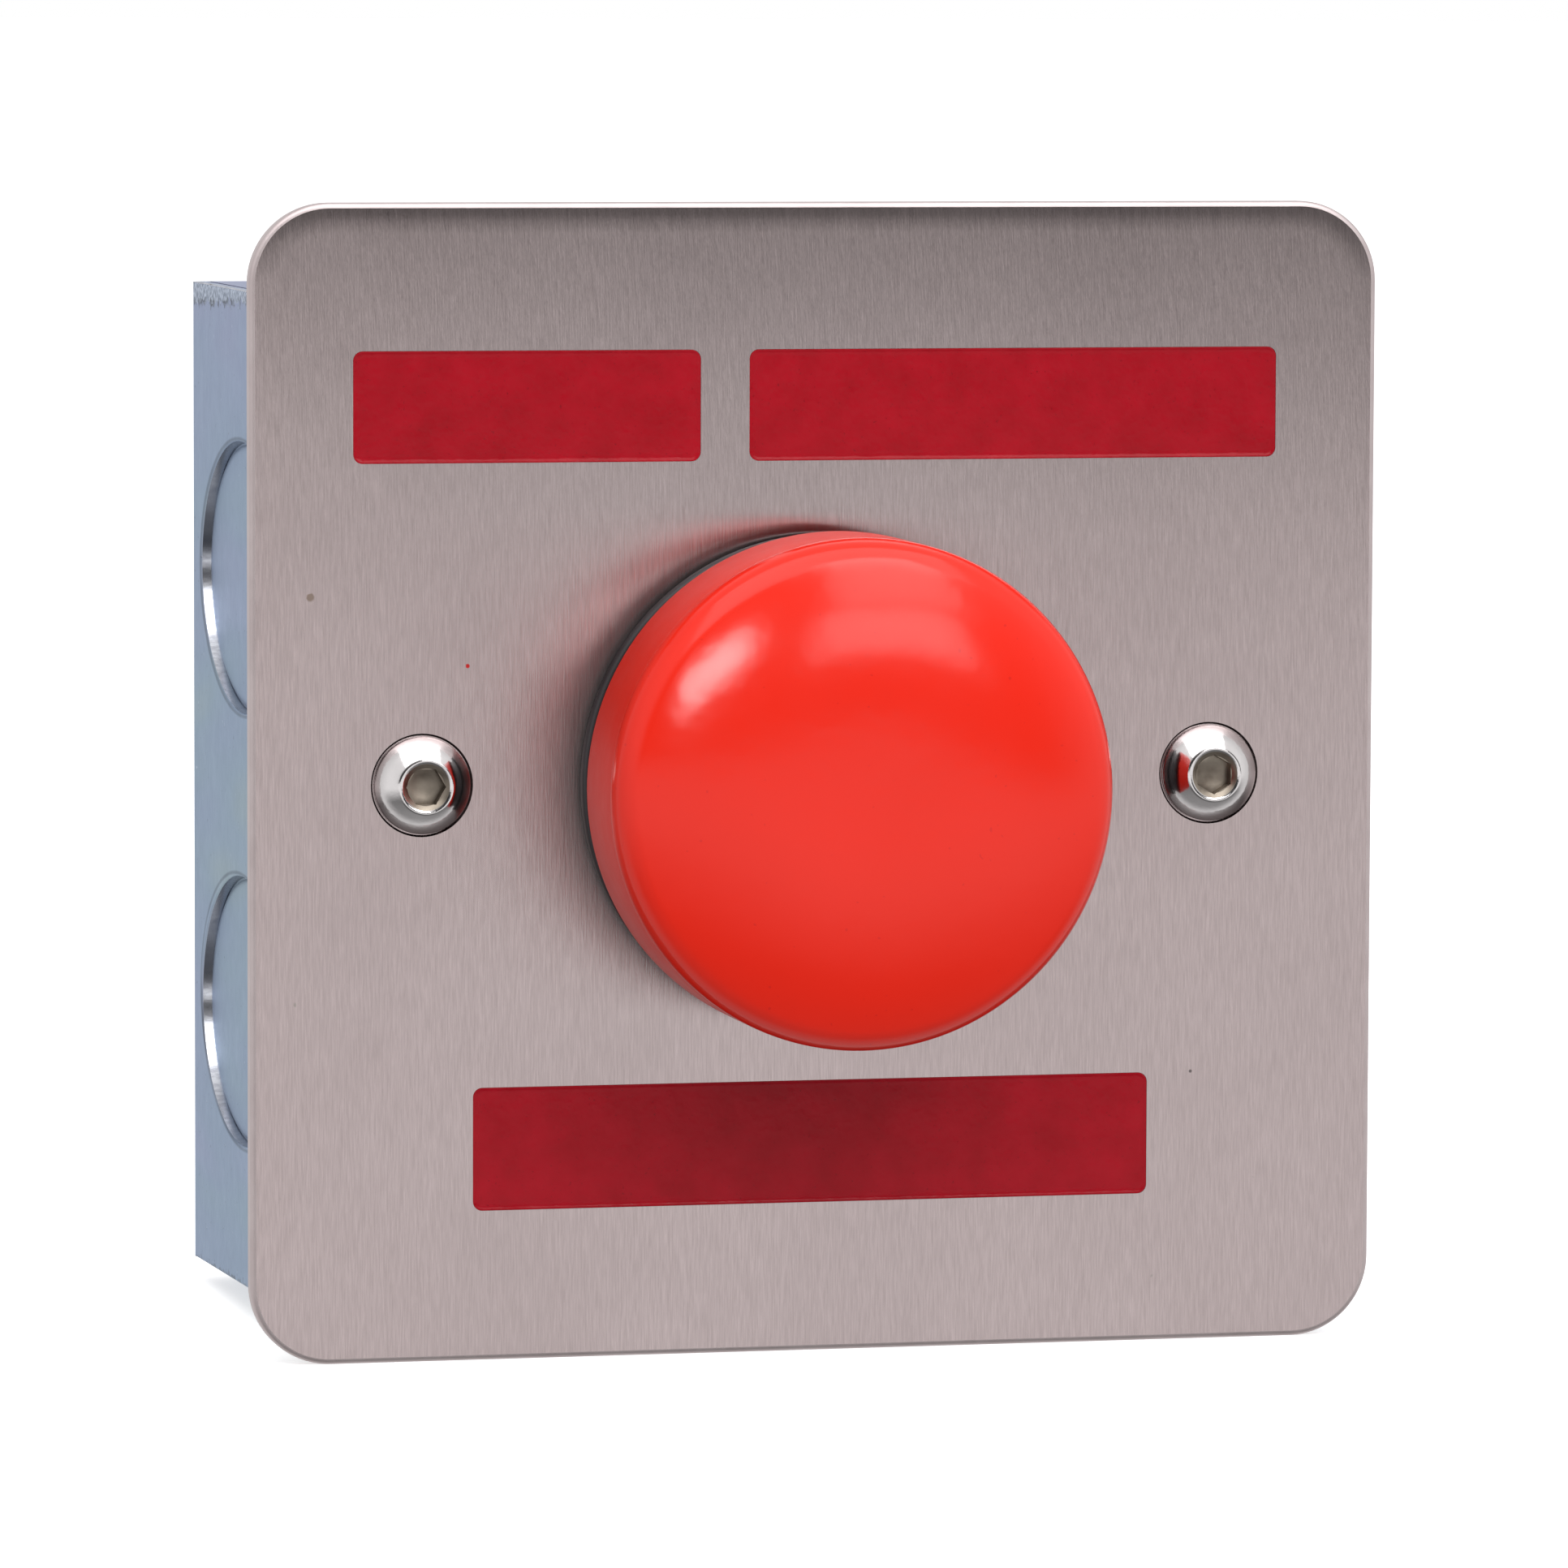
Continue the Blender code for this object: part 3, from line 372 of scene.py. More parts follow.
def red_gloss(name, roughness, specular):
    look = Look(name, Specular_IOR_Level=specular)
    cloud = look.noise(45, detail=2.0)
    base = look.ramp(cloud, (0.3, (0.61, 0.016, 0.006)), (0.7, (0.65, 0.019, 0.009)))
    speck = look.noise(2600, detail=0.0)
    look.set("Base Color", look.mix(look.spread(speck, 0.0, 0.5, 0.83, 0.86), base, (0.45, 0.012, 0.010)))
    look.set("Roughness", look.spread(look.noise(500, detail=3.0), *roughness))
    look.bump(look.noise(700, detail=1.0), 0.000012)
    return look.material


def rubber():
    look = Look("gasket_rubber", roughness=0.8)
    look.set("Base Color", look.clouded(900, (0.010, 0.010, 0.010), (0.022, 0.021, 0.021)))
    look.set("Roughness", look.spread(look.noise(2500, detail=2.0), 0.7, 0.9))
    look.bump(look.noise(6000, detail=2.0), 0.00003)
    return look.material


def shown_disc_heights():
    """Heights of the side walls' two knockouts once the lower wall has leaned."""
    return (SIDE_DISC_Z[0] - LEAN * SIDE_DISC_Y / BOX_DEPTH, SIDE_DISC_Z[1])


# of the painted shadow line round a side knockout, where its groove is in shade
SHADOW_RING_RADIUS = 0.01056


def torn_edges_and_ring_shadows(look, base):
    """The side walls' rims: a rough pale band on top, widest at the rear, and below it painted shade, a dark
    thin band along the rounded lower edge; and a painted shadow line round each knockout.
    """
    parts = look.node("SeparateXYZ", {"Vector": look.coordinates}).outputs
    ragged = look.spread(look.noise(1500, detail=3.0), -0.0004, 0.0004, 0.3, 0.7)
    depth = look.spread(parts["Y"], 0.0002, 0.0017, -BOX_DEPTH, 0.0)
    below_top = look.maths("SUBTRACT", BOX_Z + BOX_HALF, parts["Z"])
    from_line = look.maths("ADD", look.maths("SUBTRACT", depth, below_top), ragged)
    across = look.maths("ABSOLUTE", look.maths("SUBTRACT", parts["X"], BOX_X))
    on_side = look.spread(across, 0.0, 1.0, BOX_HALF - 0.0009, BOX_HALF - 0.0005)
    pale = look.ramp(look.noise(2600, detail=3.0), (0.38, (0.22, 0.22, 0.25)), (0.60, (0.66, 0.67, 0.72)))
    torn = look.maths("MULTIPLY", on_side, look.spread(from_line, 0.0, 0.95, 0.0, 0.0001))
    painted = look.mix(torn, base, pale)
    near = look.spread(look.maths("ABSOLUTE", from_line), 1.0, 0.0, 0.00004, 0.00030)
    rust = look.maths("MULTIPLY", near, look.spread(look.noise(700, detail=2.0), 0.0, 1.0, 0.44, 0.56))
    painted = look.mix(look.maths("MULTIPLY", on_side, rust), painted, (0.07, 0.045, 0.035))
    flat = look.stretched((0, 1 / SIDE_DISC_STRETCH, 1))
    # painted shadow: a thin dark ring round each knockout, where its groove lies in shade
    for z in shown_disc_heights():
        centre = (0, SIDE_DISC_Y / SIDE_DISC_STRETCH, z)
        off_shadow_ring = look.maths("ABSOLUTE", look.maths("SUBTRACT", look.distance(flat, centre), SHADOW_RING_RADIUS))
        line = look.spread(off_shadow_ring, 0.6, 0.0, 0.00005, 0.00020)
        painted = look.mix(look.maths("MULTIPLY", on_side, line), painted, (0.07, 0.07, 0.08))
    # painted shade: a dark thin band along the rounded lower edge of each side wall
    low_edge = look.spread(parts["Y"], BOX_Z - BOX_HALF + LEAN, BOX_Z - BOX_HALF, -BOX_DEPTH, 0.0)
    above_low = look.maths("SUBTRACT", parts["Z"], low_edge)
    low_edge_shade = look.spread(look.maths("ADD", above_low, ragged), 0.75, 0.0, 0.0001, 0.0003)
    return look.mix(look.maths("MULTIPLY", on_side, low_edge_shade), painted, (0.10, 0.085, 0.08))


def zinc_plate():
    look = Look("zinc_plate", metallic=1.0, Specular_Tint=(0.72, 0.82, 0.95, 1.0))
    tint = look.noise((60, 16, -68), detail=2.0, distortion=0.4)
    base = look.ramp(
        tint,
        (0.28, (0.42, 0.39, 0.53)),
        (0.42, (0.38, 0.41, 0.53)),
        (0.52, (0.35, 0.405, 0.50)),
        (0.62, (0.355, 0.43, 0.49)),
        (0.76, (0.44, 0.49, 0.42)),
    )
    grain = look.noise((2600, 2600, 300), detail=2.0)
    dulled = look.mix(look.spread(grain, 0.0, 0.25), base, (0.24, 0.27, 0.31))
    speck = look.noise(2400, detail=1.0)
    specked = look.mix(look.spread(speck, 0.0, 0.7, 0.74, 0.78), dulled, (0.10, 0.10, 0.12))
    glint = look.noise(2400, detail=0.0)
    specked = look.mix(look.spread(glint, 0.0, 0.5, 0.83, 0.87), specked, (0.75, 0.78, 0.85))
    look.set("Base Color", torn_edges_and_ring_shadows(look, specked))
    look.set("Roughness", look.spread(look.noise(600, detail=3.0), 0.26, 0.42))
    look.bump(look.noise(1300, detail=3.0), 0.00003)
    look.bump(look.noise(120, detail=1.0), 0.00012)
    return look.material


def sheared_steel():
    look = Look("sheared_steel", metallic=0.8)
    cloud = look.noise(900, detail=4.0)
    base = look.ramp(cloud, (0.3, (0.34, 0.34, 0.37)), (0.7, (0.55, 0.55, 0.60)))
    rust = look.noise(420, detail=3.0)
    look.set("Base Color", look.mix(look.spread(rust, 0.0, 0.9, 0.63, 0.70), base, (0.10, 0.055, 0.035)))
    look.set("Roughness", look.spread(cloud, 0.45, 0.65))
    look.bump(look.noise((1500, 5000, 1500), detail=3.0), 0.00006)
    return look.material


def shear_wall():
    """The cut wall of a half-sheared disc: bright bare steel, finely marked, with painted shade on its upper
    part and at its foot.
    """
    look = Look("shear_wall_steel", metallic=1.0)
    height = look.node("SeparateXYZ", {"Vector": look.coordinates}).outputs["Z"]
    low, high = shown_disc_heights()
    centre = look.spread(height, low, high, BOX_Z - 0.001, BOX_Z + 0.001)
    above = look.maths("SUBTRACT", height, centre)
    marks = look.noise((1200, 1200, 4200), detail=2.0)
    bare = look.ramp(marks, (0.36, (0.60, 0.61, 0.67)), (0.60, (0.80, 0.82, 0.88)))
    # painted shade: the wall's upper part, which faces down, goes dark
    upper = look.mix(look.spread(above, 0.0, 0.9, -0.0012, 0.0018), bare, (0.19, 0.21, 0.26))
    # painted shade at the wall's foot, the bottom of the ring
    foot = look.spread(above, 0.65, 0.0, -0.0090, -0.0070)
    look.set("Base Color", look.mix(foot, upper, (0.16, 0.175, 0.22)))
    look.set("Roughness", look.spread(marks, 0.30, 0.20))
    look.bump(marks, 0.000004)
    return look.material


def plain_metal(name, low, high, roughness, grain=3000):
    look = Look(name, metallic=1.0)
    look.set("Base Color", look.clouded(400, low, high))
    look.set("Roughness", look.spread(look.noise(grain, detail=3.0), *roughness))
    look.bump(look.noise(grain, detail=2.0), 0.000006)
    return look.material


def moulded(name, low, high, roughness=(0.4, 0.55), cells=200, grain=7000):
    look = Look(name)
    look.set("Base Color", look.clouded(cells, low, high))
    look.set("Roughness", look.spread(look.noise(2500, detail=2.0), *roughness))
    look.bump(look.noise(grain, detail=2.0), 0.00001)
    return look.material


STAINLESS = brushed_stainless()
EDGE = plain_metal("satin_edge_steel", (0.55, 0.47, 0.47), (0.61, 0.53, 0.53), (0.42, 0.52))
ENAMEL = red_enamel()
RED = red_gloss("red_gloss_plastic", (0.13, 0.18), 0.3)
RED_SIDE = red_gloss("red_satin_plastic", (0.28, 0.36), 0.13)
BLACK = moulded("black_plastic", (0.016, 0.012, 0.014), (0.030, 0.023, 0.026), (0.34, 0.50), 160, 9000)
RUBBER = rubber()
ZINC = zinc_plate()
SHEARED = sheared_steel()
SHEAR_WALL = shear_wall()
POLISHED = plain_metal("polished_steel", (0.66, 0.63, 0.63), (0.74, 0.71, 0.71), (0.08, 0.16))
SOCKET = plain_metal("socket_steel", (0.13, 0.105, 0.085), (0.40, 0.35, 0.29), (0.3, 0.5), 1600)
BRASS = plain_metal("brass", (0.68, 0.47, 0.20), (0.78, 0.58, 0.28), (0.22, 0.36))
ZINC_SCREW = plain_metal("zinc_screw", (0.50, 0.53, 0.56), (0.60, 0.62, 0.64), (0.22, 0.36))
SPRING = plain_metal("spring_steel", (0.40, 0.40, 0.42), (0.54, 0.53, 0.53), (0.24, 0.38))
GREY = moulded("grey_plastic", (0.20, 0.21, 0.22), (0.27, 0.28, 0.29))
CREAM = moulded("cream_plastic", (0.62, 0.57, 0.46), (0.72, 0.68, 0.57))
RED_SATIN = moulded("red_plunger_plastic", (0.52, 0.02, 0.015), (0.62, 0.035, 0.022), (0.3, 0.42))


def keep(material, *names):
    """Gives CAD nodes that stay a better material."""
    for name in names:
        for slot in nodes[name].material_slots:
            slot.link = "OBJECT"
            slot.material = material


def stand_in(obj, slot, *replaced, body=BODY):
    """Makes a piece ride on its body, in place of the CAD nodes that it replaces."""
    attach(obj, body)
    if replaced:
        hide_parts(*replaced)


# ---------------------------------------------------------------- face plate

PLATE_CORNER = 0.006
EDGE_ROUND = 0.0004
REAR_ROUND = 0.00015
# (distance in from the rim, drop behind the front plane) of the front's roll-off before its rounded edge
ROLL_OFF = ((0.0022, 0.0), (0.0014, 0.000003), (0.0009, 0.000009), (0.0004, 0.000018))
ROLL_OFF_END = 0.00002
HOLE_RADIUS = 0.0153
# how far a cutter reaches past the face that it cuts
CLEAR = 0.001
# screw hole of the plate: clearance for the shank, and (radius, depth) of the shallow seat round it
SCREW_HOLE_RADIUS = 0.0021
SEAT = ((0.00385, -CLEAR), (0.00385, -0.00001), (0.00378, 0.00012), (0.00370, 0.0002))
screw_low, screw_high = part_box("plate_screw_right")
SCREW_X = (screw_low.x + screw_high.x) / 2


def plate_layer(inset, y):
    return rounded_outline(PLATE_HALF - inset, PLATE_HALF - inset, PLATE_CORNER - inset, 20), y


def edge_layers(radius, y, towards, count):
    """Outline layers that round the plate's rim by a radius; towards is +1 if material lies at greater y."""
    layers = []
    for k in range(count + 1):
        a = math.pi / 2 * k / count
        layers.append(plate_layer(radius * (1 - math.sin(a)), y + towards * radius * (1 - math.cos(a))))
    return layers


# (name, x, z) of the enamel bars that stand for the lettering, let into pockets
BARS = (
    ("enamel_bar_upper_left", (-0.0353, -0.0091), (0.0238, 0.0321)),
    ("enamel_bar_upper_right", (-0.0054, 0.0352), (0.0238, 0.0321)),
    ("enamel_bar_lower", (-0.0263, 0.0255), (-0.0318, -0.0226)),
)
POCKET = 0.00014
BAR_GAP = 0.00001
BAR_CORNER = 0.0007
# (distance in, loss of corner radius, depth under the front plane) from a bar's wall to its dished middle
BAR_LAYERS = (
    (BAR_GAP, 0.0, POCKET - BAR_GAP),
    (BAR_GAP, 0.0, 0.00003),
    (0.00006, 0.00005, 0.00002),
    (0.00016, 0.00014, 0.00005),
    (0.00034, 0.00030, 0.00007),
    (0.00060, 0.00050, 0.00006),
)


def bar_layer(x, z, inset, corner_loss, depth):
    centre = ((x[0] + x[1]) / 2, (z[0] + z[1]) / 2)
    half_x = (x[1] - x[0]) / 2 - inset
    half_z = (z[1] - z[0]) / 2 - inset
    return rounded_outline(half_x, half_z, BAR_CORNER - corner_loss, 6, centre), PLATE_FRONT + depth


def make_plate():
    layers = [plate_layer(inset, PLATE_FRONT + drop) for inset, drop in ROLL_OFF]
    layers += edge_layers(EDGE_ROUND, PLATE_FRONT + ROLL_OFF_END, 1, 6)
    layers += edge_layers(REAR_ROUND, PLATE_REAR, -1, 2)[::-1]
    plate = finish_mesh("face_plate_sheet", stack(layers), STAINLESS, 40, True)
    front, rear = PLATE_FRONT - CLEAR, PLATE_REAR + CLEAR
    hole = [(0, front), (HOLE_RADIUS, front), (HOLE_RADIUS, rear), (0, rear)]
    boolean(plate, "DIFFERENCE", lathe(hole, 96))
    seat = [(0, front)] + [(radius, PLATE_FRONT + depth) for radius, depth in SEAT]
    seat += [(SCREW_HOLE_RADIUS, seat[-1][1]), (SCREW_HOLE_RADIUS, rear), (0, rear)]
    for side in (-1, 1):
        boolean(plate, "DIFFERENCE", moved(lathe(seat, 64), side * SCREW_X))
    pockets = [stack([bar_layer(x, z, 0, 0, depth) for depth in (-0.0005, POCKET)]) for _, x, z in BARS]
    boolean(plate, "DIFFERENCE", together(pockets))
    smooth(plate.data)
    plate.data.materials.append(EDGE)
    for face in plate.data.polygons:
        tilted = abs(face.normal.y) < 0.998
        outer = max(abs(face.center.x), abs(face.center.z)) > PLATE_HALF - PLATE_CORNER / 2
        if tilted and outer:
            face.material_index = 1
    stand_in(plate, "stainless_plate", "face_plate")


def make_bars():
    for name, x, z in BARS:
        bar = finish_mesh(name, stack([bar_layer(x, z, *layer) for layer in BAR_LAYERS]), ENAMEL, 60)
        stand_in(bar, "red_gloss_plastic")


# ---------------------------------------------------------------- button

HEAD_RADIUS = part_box("button_head")[1].x
HEAD_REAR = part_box("button_head")[1].y
HEAD_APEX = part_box("button_head")[0].y
# the crown is flat in the middle and curves more and more towards the shoulder
CROWN_POWER = 3.36
CROWN_EDGE = math.radians(70)
# the shoulder's round, and how far in front of the plate the side wall reaches
SHOULDER_ROUND = 0.0026
SHOULDER_FRONT = 0.0139
# the underside: skirt wall, ceiling, and the post with its socket for the stem
SKIRT_INNER = 0.0172
CEILING = 0.0142
POST_RADIUS = 0.0065
POST_REAR = -0.0558
SOCKET_RADIUS = 0.0042
SOCKET_FLOOR = -0.061


def make_head():
    centre_radius = HEAD_RADIUS - SHOULDER_ROUND
    shoulder_y = PLATE_FRONT - SHOULDER_FRONT

    def shoulder(angle):
        return centre_radius + SHOULDER_ROUND * math.cos(angle), shoulder_y - SHOULDER_ROUND * math.sin(angle)

    top = shoulder(CROWN_EDGE)
    rise = top[1] - HEAD_APEX
    shares = [k / 24 for k in range(25)]
    profile = [(top[0] * share, HEAD_APEX + rise * share**CROWN_POWER) for share in shares]
    profile += [shoulder(CROWN_EDGE * (1 - k / 14)) for k in range(1, 15)]
    under = fillet(
        [
            (HEAD_RADIUS, shoulder_y),
            (HEAD_RADIUS, HEAD_REAR, 0.00025),
            (SKIRT_INNER, HEAD_REAR, 0.0002),
            (SKIRT_INNER, PLATE_FRONT - CEILING, 0.0018),
            (POST_RADIUS, PLATE_FRONT - CEILING, 0.0005),
            (POST_RADIUS, POST_REAR, 0.0002),
            (SOCKET_RADIUS, POST_REAR, 0.0002),
            (SOCKET_RADIUS, SOCKET_FLOOR),
            (0, SOCKET_FLOOR),
        ],
        4,
    )
    head = finish_mesh("button_head_shell", lathe(profile + under[1:], 160), RED, 50)
    head.data.materials.append(RED_SIDE)
    for face in head.data.polygons:
        if face.center.y > shoulder_y:
            face.material_index = 1
    stand_in(head, "red_gloss_plastic", "button_head", body="button")


def make_bezel():
    front = PLATE_FRONT
    profile = fillet(
        [
            (0.0043, -0.0335),
            (0.0148, -0.0335, 0.0004),
            (0.0148, front - 0.0009, 0.0001),
            (0.0184, front - 0.0009, 0.00012),
            (0.0184, front - 0.0020, 0.00035),
            (0.0166, front - 0.0020, 0.00015),
            (0.0166, front - 0.0090, 0.00025),
            (0.0150, front - 0.0090, 0.0002),
            (0.0150, front - 0.0020, 0.0002),
            (0.0128, front - 0.0020, 0.0002),
            (0.0128, -0.0355, 0.0002),
            (0.0043, -0.0355),
        ],
        4,
    )
    bezel = finish_mesh("bezel_ring_body", lathe(profile, 144, closed=True), BLACK, 40)
    stand_in(bezel, "black_plastic", "bezel_body")


def make_gasket():
    front = PLATE_FRONT
    profile = fillet(
        [
            (0.0160, front - 0.0002),
            (0.0180, front - 0.0002, 0.0001),
            (0.0180, front - 0.0007, 0.0001),
            (0.0153, front - 0.0007, 0.0001),
            (0.0153, front - 0.0002, 0.0001),
            (0.0159, front - 0.0002),
        ],
        3,
    )
    gasket = finish_mesh("sealing_gasket_ring", lathe(profile, 128, closed=True), RUBBER, 40)
    stand_in(gasket, "gasket_rubber", "sealing_gasket")


# ---------------------------------------------------------------- screws

SCREW_HEAD_RADIUS = 0.0036
SCREW_HEAD_HEIGHT = 0.002
SHANK_RADIUS = 0.00165
ROOT_RADIUS = 0.00135
PITCH = 0.0006
THREAD_END = -0.0336
SCREW_END = -0.033
HEX_ACROSS = 0.0026
# (radius, depth under the crown) of the drill point at the foot of the socket
DRILL_POINT = ((0, 0.0010), (0.00105, 0.0012), (0.00105, 0.00125), (0, 0.0016))


def hex_cutter(radius, y, turn):
    angles = [turn + math.tau * k / 6 for k in range(6)]
    ring = [(radius * math.cos(a), radius * math.sin(a)) for a in angles]
    return stack([(ring, y[0]), (ring, y[1])])


def crown_arc(start, end, count):
    """Points after the start, to the end, of the arc through both that is centred on the axis."""
    squares = end[0] ** 2 + end[1] ** 2 - start[0] ** 2 - start[1] ** 2
    centre = squares / (2 * (end[1] - start[1]))
    radius = math.hypot(end[0], end[1] - centre)
    first = math.atan2(start[1] - centre, start[0])
    last = math.atan2(end[1] - centre, end[0])
    angles = [first + (last - first) * k / count for k in range(1, count + 1)]
    return [(radius * math.cos(a), centre + radius * math.sin(a)) for a in angles]


def make_screw(name, node, side, turn):
    """Button-head screw with a countersunk hexagon socket and a thread of crests and roots."""
    x = side * SCREW_X
    seat = PLATE_FRONT + 0.0001
    crown = seat - SCREW_HEAD_HEIGHT
    corner = HEX_ACROSS / math.sqrt(3)
    mouth = corner + 0.00035
    lip = (mouth + 0.0002, crown + 0.00001)
    rim = (SCREW_HEAD_RADIUS, seat - 0.00045)
    under_head = (SHANK_RADIUS, seat - 0.00001)
    profile = [(0, crown + 0.0003), (corner - 0.0001, crown + 0.0003)]
    profile += [(mouth - 0.0001, crown + 0.00003), (mouth + 0.0001, crown), lip]
    profile += crown_arc(lip, rim, 16)
    profile += fillet([rim, (SCREW_HEAD_RADIUS, under_head[1], 0.00012), under_head], 3)[1:]
    y = seat + 0.001
    while y < THREAD_END:
        profile += [(SHANK_RADIUS, y), (ROOT_RADIUS, y + PITCH / 2)]
        y += PITCH
    profile += [(0.0012, SCREW_END), (0, SCREW_END)]
    screw = finish_mesh(name, moved(lathe(profile, 72), x), POLISHED, 35)
    screw.data.materials.append(SOCKET)
    boolean(screw, "DIFFERENCE", moved(hex_cutter(corner, (crown - 0.001, crown + 0.0013), turn), x))
    drill_point = lathe([(radius, crown + depth) for radius, depth in DRILL_POINT], 32)
    boolean(screw, "DIFFERENCE", moved(drill_point, x))
    smooth(screw.data, 35)
    for face in screw.data.polygons:
        depth = face.center.y - crown
        if 0.00005 < depth < 0.0017 and math.hypot(face.center.x - x, face.center.z) < mouth - 0.0001:
            face.material_index = 1
    stand_in(screw, "polished_steel", node)


# ---------------------------------------------------------------- back box

SHEET = 0.001
REAR_DISC_Z = 0.019
TOP_DISC_Y = -0.0202
# (radius, height over the wall) of the groove that frees a knockout, and of the disc that is pushed in
GROOVE = (
    (0, 0.001),
    (0.01052, 0.001),
    (0.01052, 0.00001),
    (0.01044, -0.00003),
    (0.01036, -0.00012),
    (0.01026, -0.00090),
    (0, -0.00090),
)
DISC = (
    (0, -0.0006),
    (0.0093, -0.0006),
    (0.0096, -0.00062),
    (0.0099, -0.00069),
    (0.0101, -0.00082),
    (0.0101, -0.0017),
    (0, -0.0017),
)
# the gap between a side wall and the folded wall next to it
SLIT = 0.00028
# what counts as the sheared wall round a disc: range of radius, and of depth
SHEARED_RADIUS = (0.0100, 0.0108)
SHEARED_DEPTH = (0.00004, 0.0009)
# the rear panel's fixings: distance from the middle, the slots' half sizes and round, the holes' radius
FIXING = 0.027
SLOT_HALF = (0.0051, 0.0026)
SLOT_ROUND = 0.00255
FIXING_RADIUS = 0.0026


def leaned(bm):
    """The lower wall leans in toward the front."""
    for vert in bm.verts:
        if vert.co.z < BOX_Z:
            vert.co.z += LEAN * -vert.co.y / BOX_DEPTH
    return bm


def swung(bm, axis, point):
    """Turns a tool that runs along -Y into another direction, from a point."""
    swing = Vector((0, -1, 0)).rotation_difference(Vector(axis)).to_matrix().to_4x4()
    bmesh.ops.transform(bm, matrix=Matrix.Translation(point) @ swing, verts=bm.verts)
    return bm


def knockout_spots():
    """(inward direction, centre on the outer face, stretch along Y) of each knockout."""
    spots = []
    for side in (-1, 1):
        for z in SIDE_DISC_Z:
            centre = (BOX_X + side * BOX_HALF, SIDE_DISC_Y, z)
            spots.append(((-side, 0, 0), centre, SIDE_DISC_STRETCH))
        spots.append(((0, 0, -side), (BOX_X, TOP_DISC_Y, BOX_Z + side * BOX_HALF), 1.0))
        spots.append(((0, -1, 0), (BOX_X, 0.0, BOX_Z + side * REAR_DISC_Z), 1.0))
    return spots


def knockout_tool(profile, axis, spot, stretch):
    """A lathed profile along the axis at the spot, drawn out along Y into an oval."""
    bm = swung(lathe(profile, 96), axis, spot)
    for vert in bm.verts:
        vert.co.y = spot[1] + (vert.co.y - spot[1]) * stretch
    return bm


def edges_at(bm, y):
    return [e for e in bm.edges if all(abs(v.co.y - y) < 1e-6 for v in e.verts)]


def rear_fixings():
    """Two level slots and two round holes through the rear panel."""
    through = (-0.002, 0.001)
    cutters = []
    for side in (-1, 1):
        x = BOX_X + side * FIXING
        slot = rounded_outline(*SLOT_HALF, SLOT_ROUND, 10, (x, 0.0))
        cutters.append(stack([(slot, y) for y in through]))
        hole = [(0, through[0]), (FIXING_RADIUS, through[0]), (FIXING_RADIUS, through[1]), (0, through[1])]
        cutters.append(moved(lathe(hole, 48), x, 0, BOX_Z + side * FIXING))
    return together(cutters)


def on_knockout_wall(face, axis, spot, stretch):
    """Whether a face is on the sheared wall between a knockout's disc and the box's wall."""
    along = Vector(axis)
    offset = face.center - Vector(spot)
    offset.y /= stretch
    if spot[2] < BOX_Z:
        offset.z -= LEAN * -face.center.y / BOX_DEPTH
    depth = offset.dot(along)
    radius = (offset - along * depth).length
    in_ring = SHEARED_RADIUS[0] < radius < SHEARED_RADIUS[1]
    in_depth = SHEARED_DEPTH[0] < abs(depth) < SHEARED_DEPTH[1]
    return in_ring and in_depth and abs(face.normal.dot(along)) < 0.5


def make_box():
    half = BOX_HALF
    bm = block((BOX_X - half, BOX_X + half), (-BOX_DEPTH, 0), (BOX_Z - half, BOX_Z + half))
    bevel(bm, edges_at(bm, 0), 0.0015, 6)
    long_edges = [e for e in bm.edges if abs((e.verts[0].co - e.verts[1].co).y) > 0.03]
    bevel(bm, long_edges, 0.0002, 2)
    box = finish_mesh("back_box_shell", leaned(bm), ZINC, 40, True)
    inner = half - SHEET
    front = -BOX_DEPTH - CLEAR
    hollow = block((BOX_X - inner, BOX_X + inner), (front, -SHEET), (BOX_Z - inner, BOX_Z + inner))
    bevel(hollow, edges_at(hollow, -SHEET), 0.0006, 3)
    boolean(box, "DIFFERENCE", leaned(hollow))
    for operation, profile in (("DIFFERENCE", GROOVE), ("UNION", DISC)):
        tools = [knockout_tool(profile, *spot) for spot in knockout_spots()]
        boolean(box, operation, leaned(together(tools)))
    slits = []
    for side_z in (-1, 1):
        z = (BOX_Z + side_z * (half + SHEET), BOX_Z + side_z * (half - SHEET - 0.0003))
        for side_x in (-1, 1):
            edge = BOX_X + side_x * inner
            slits.append(block((edge, edge - side_x * SLIT), (front, -0.0022), z))
    boolean(box, "DIFFERENCE", leaned(together(slits)))
    boolean(box, "DIFFERENCE", rear_fixings())
    smooth(box.data)
    box.data.materials.append(SHEARED)
    box.data.materials.append(SHEAR_WALL)
    for face in box.data.polygons:
        c, n = face.center, face.normal
        end_of_side = abs(n.z) > 0.9 and abs(c.x - BOX_X) > inner and abs(c.z - BOX_Z) > half - 0.002
        if end_of_side or n.y < -0.9 and c.y < -BOX_DEPTH + 0.0005:
            face.material_index = 1
        if any(on_knockout_wall(face, *spot) for spot in knockout_spots()):
            face.material_index = 2
    stand_in(box, "zinc_plated_steel", "back_box")


# ---------------------------------------------------------------- springs

POINTS_PER_TURN = 32
# turns of each end that lie flat, and how many wire radii they rise
DEAD_TURNS = 1.0
DEAD_RISE = 2.05


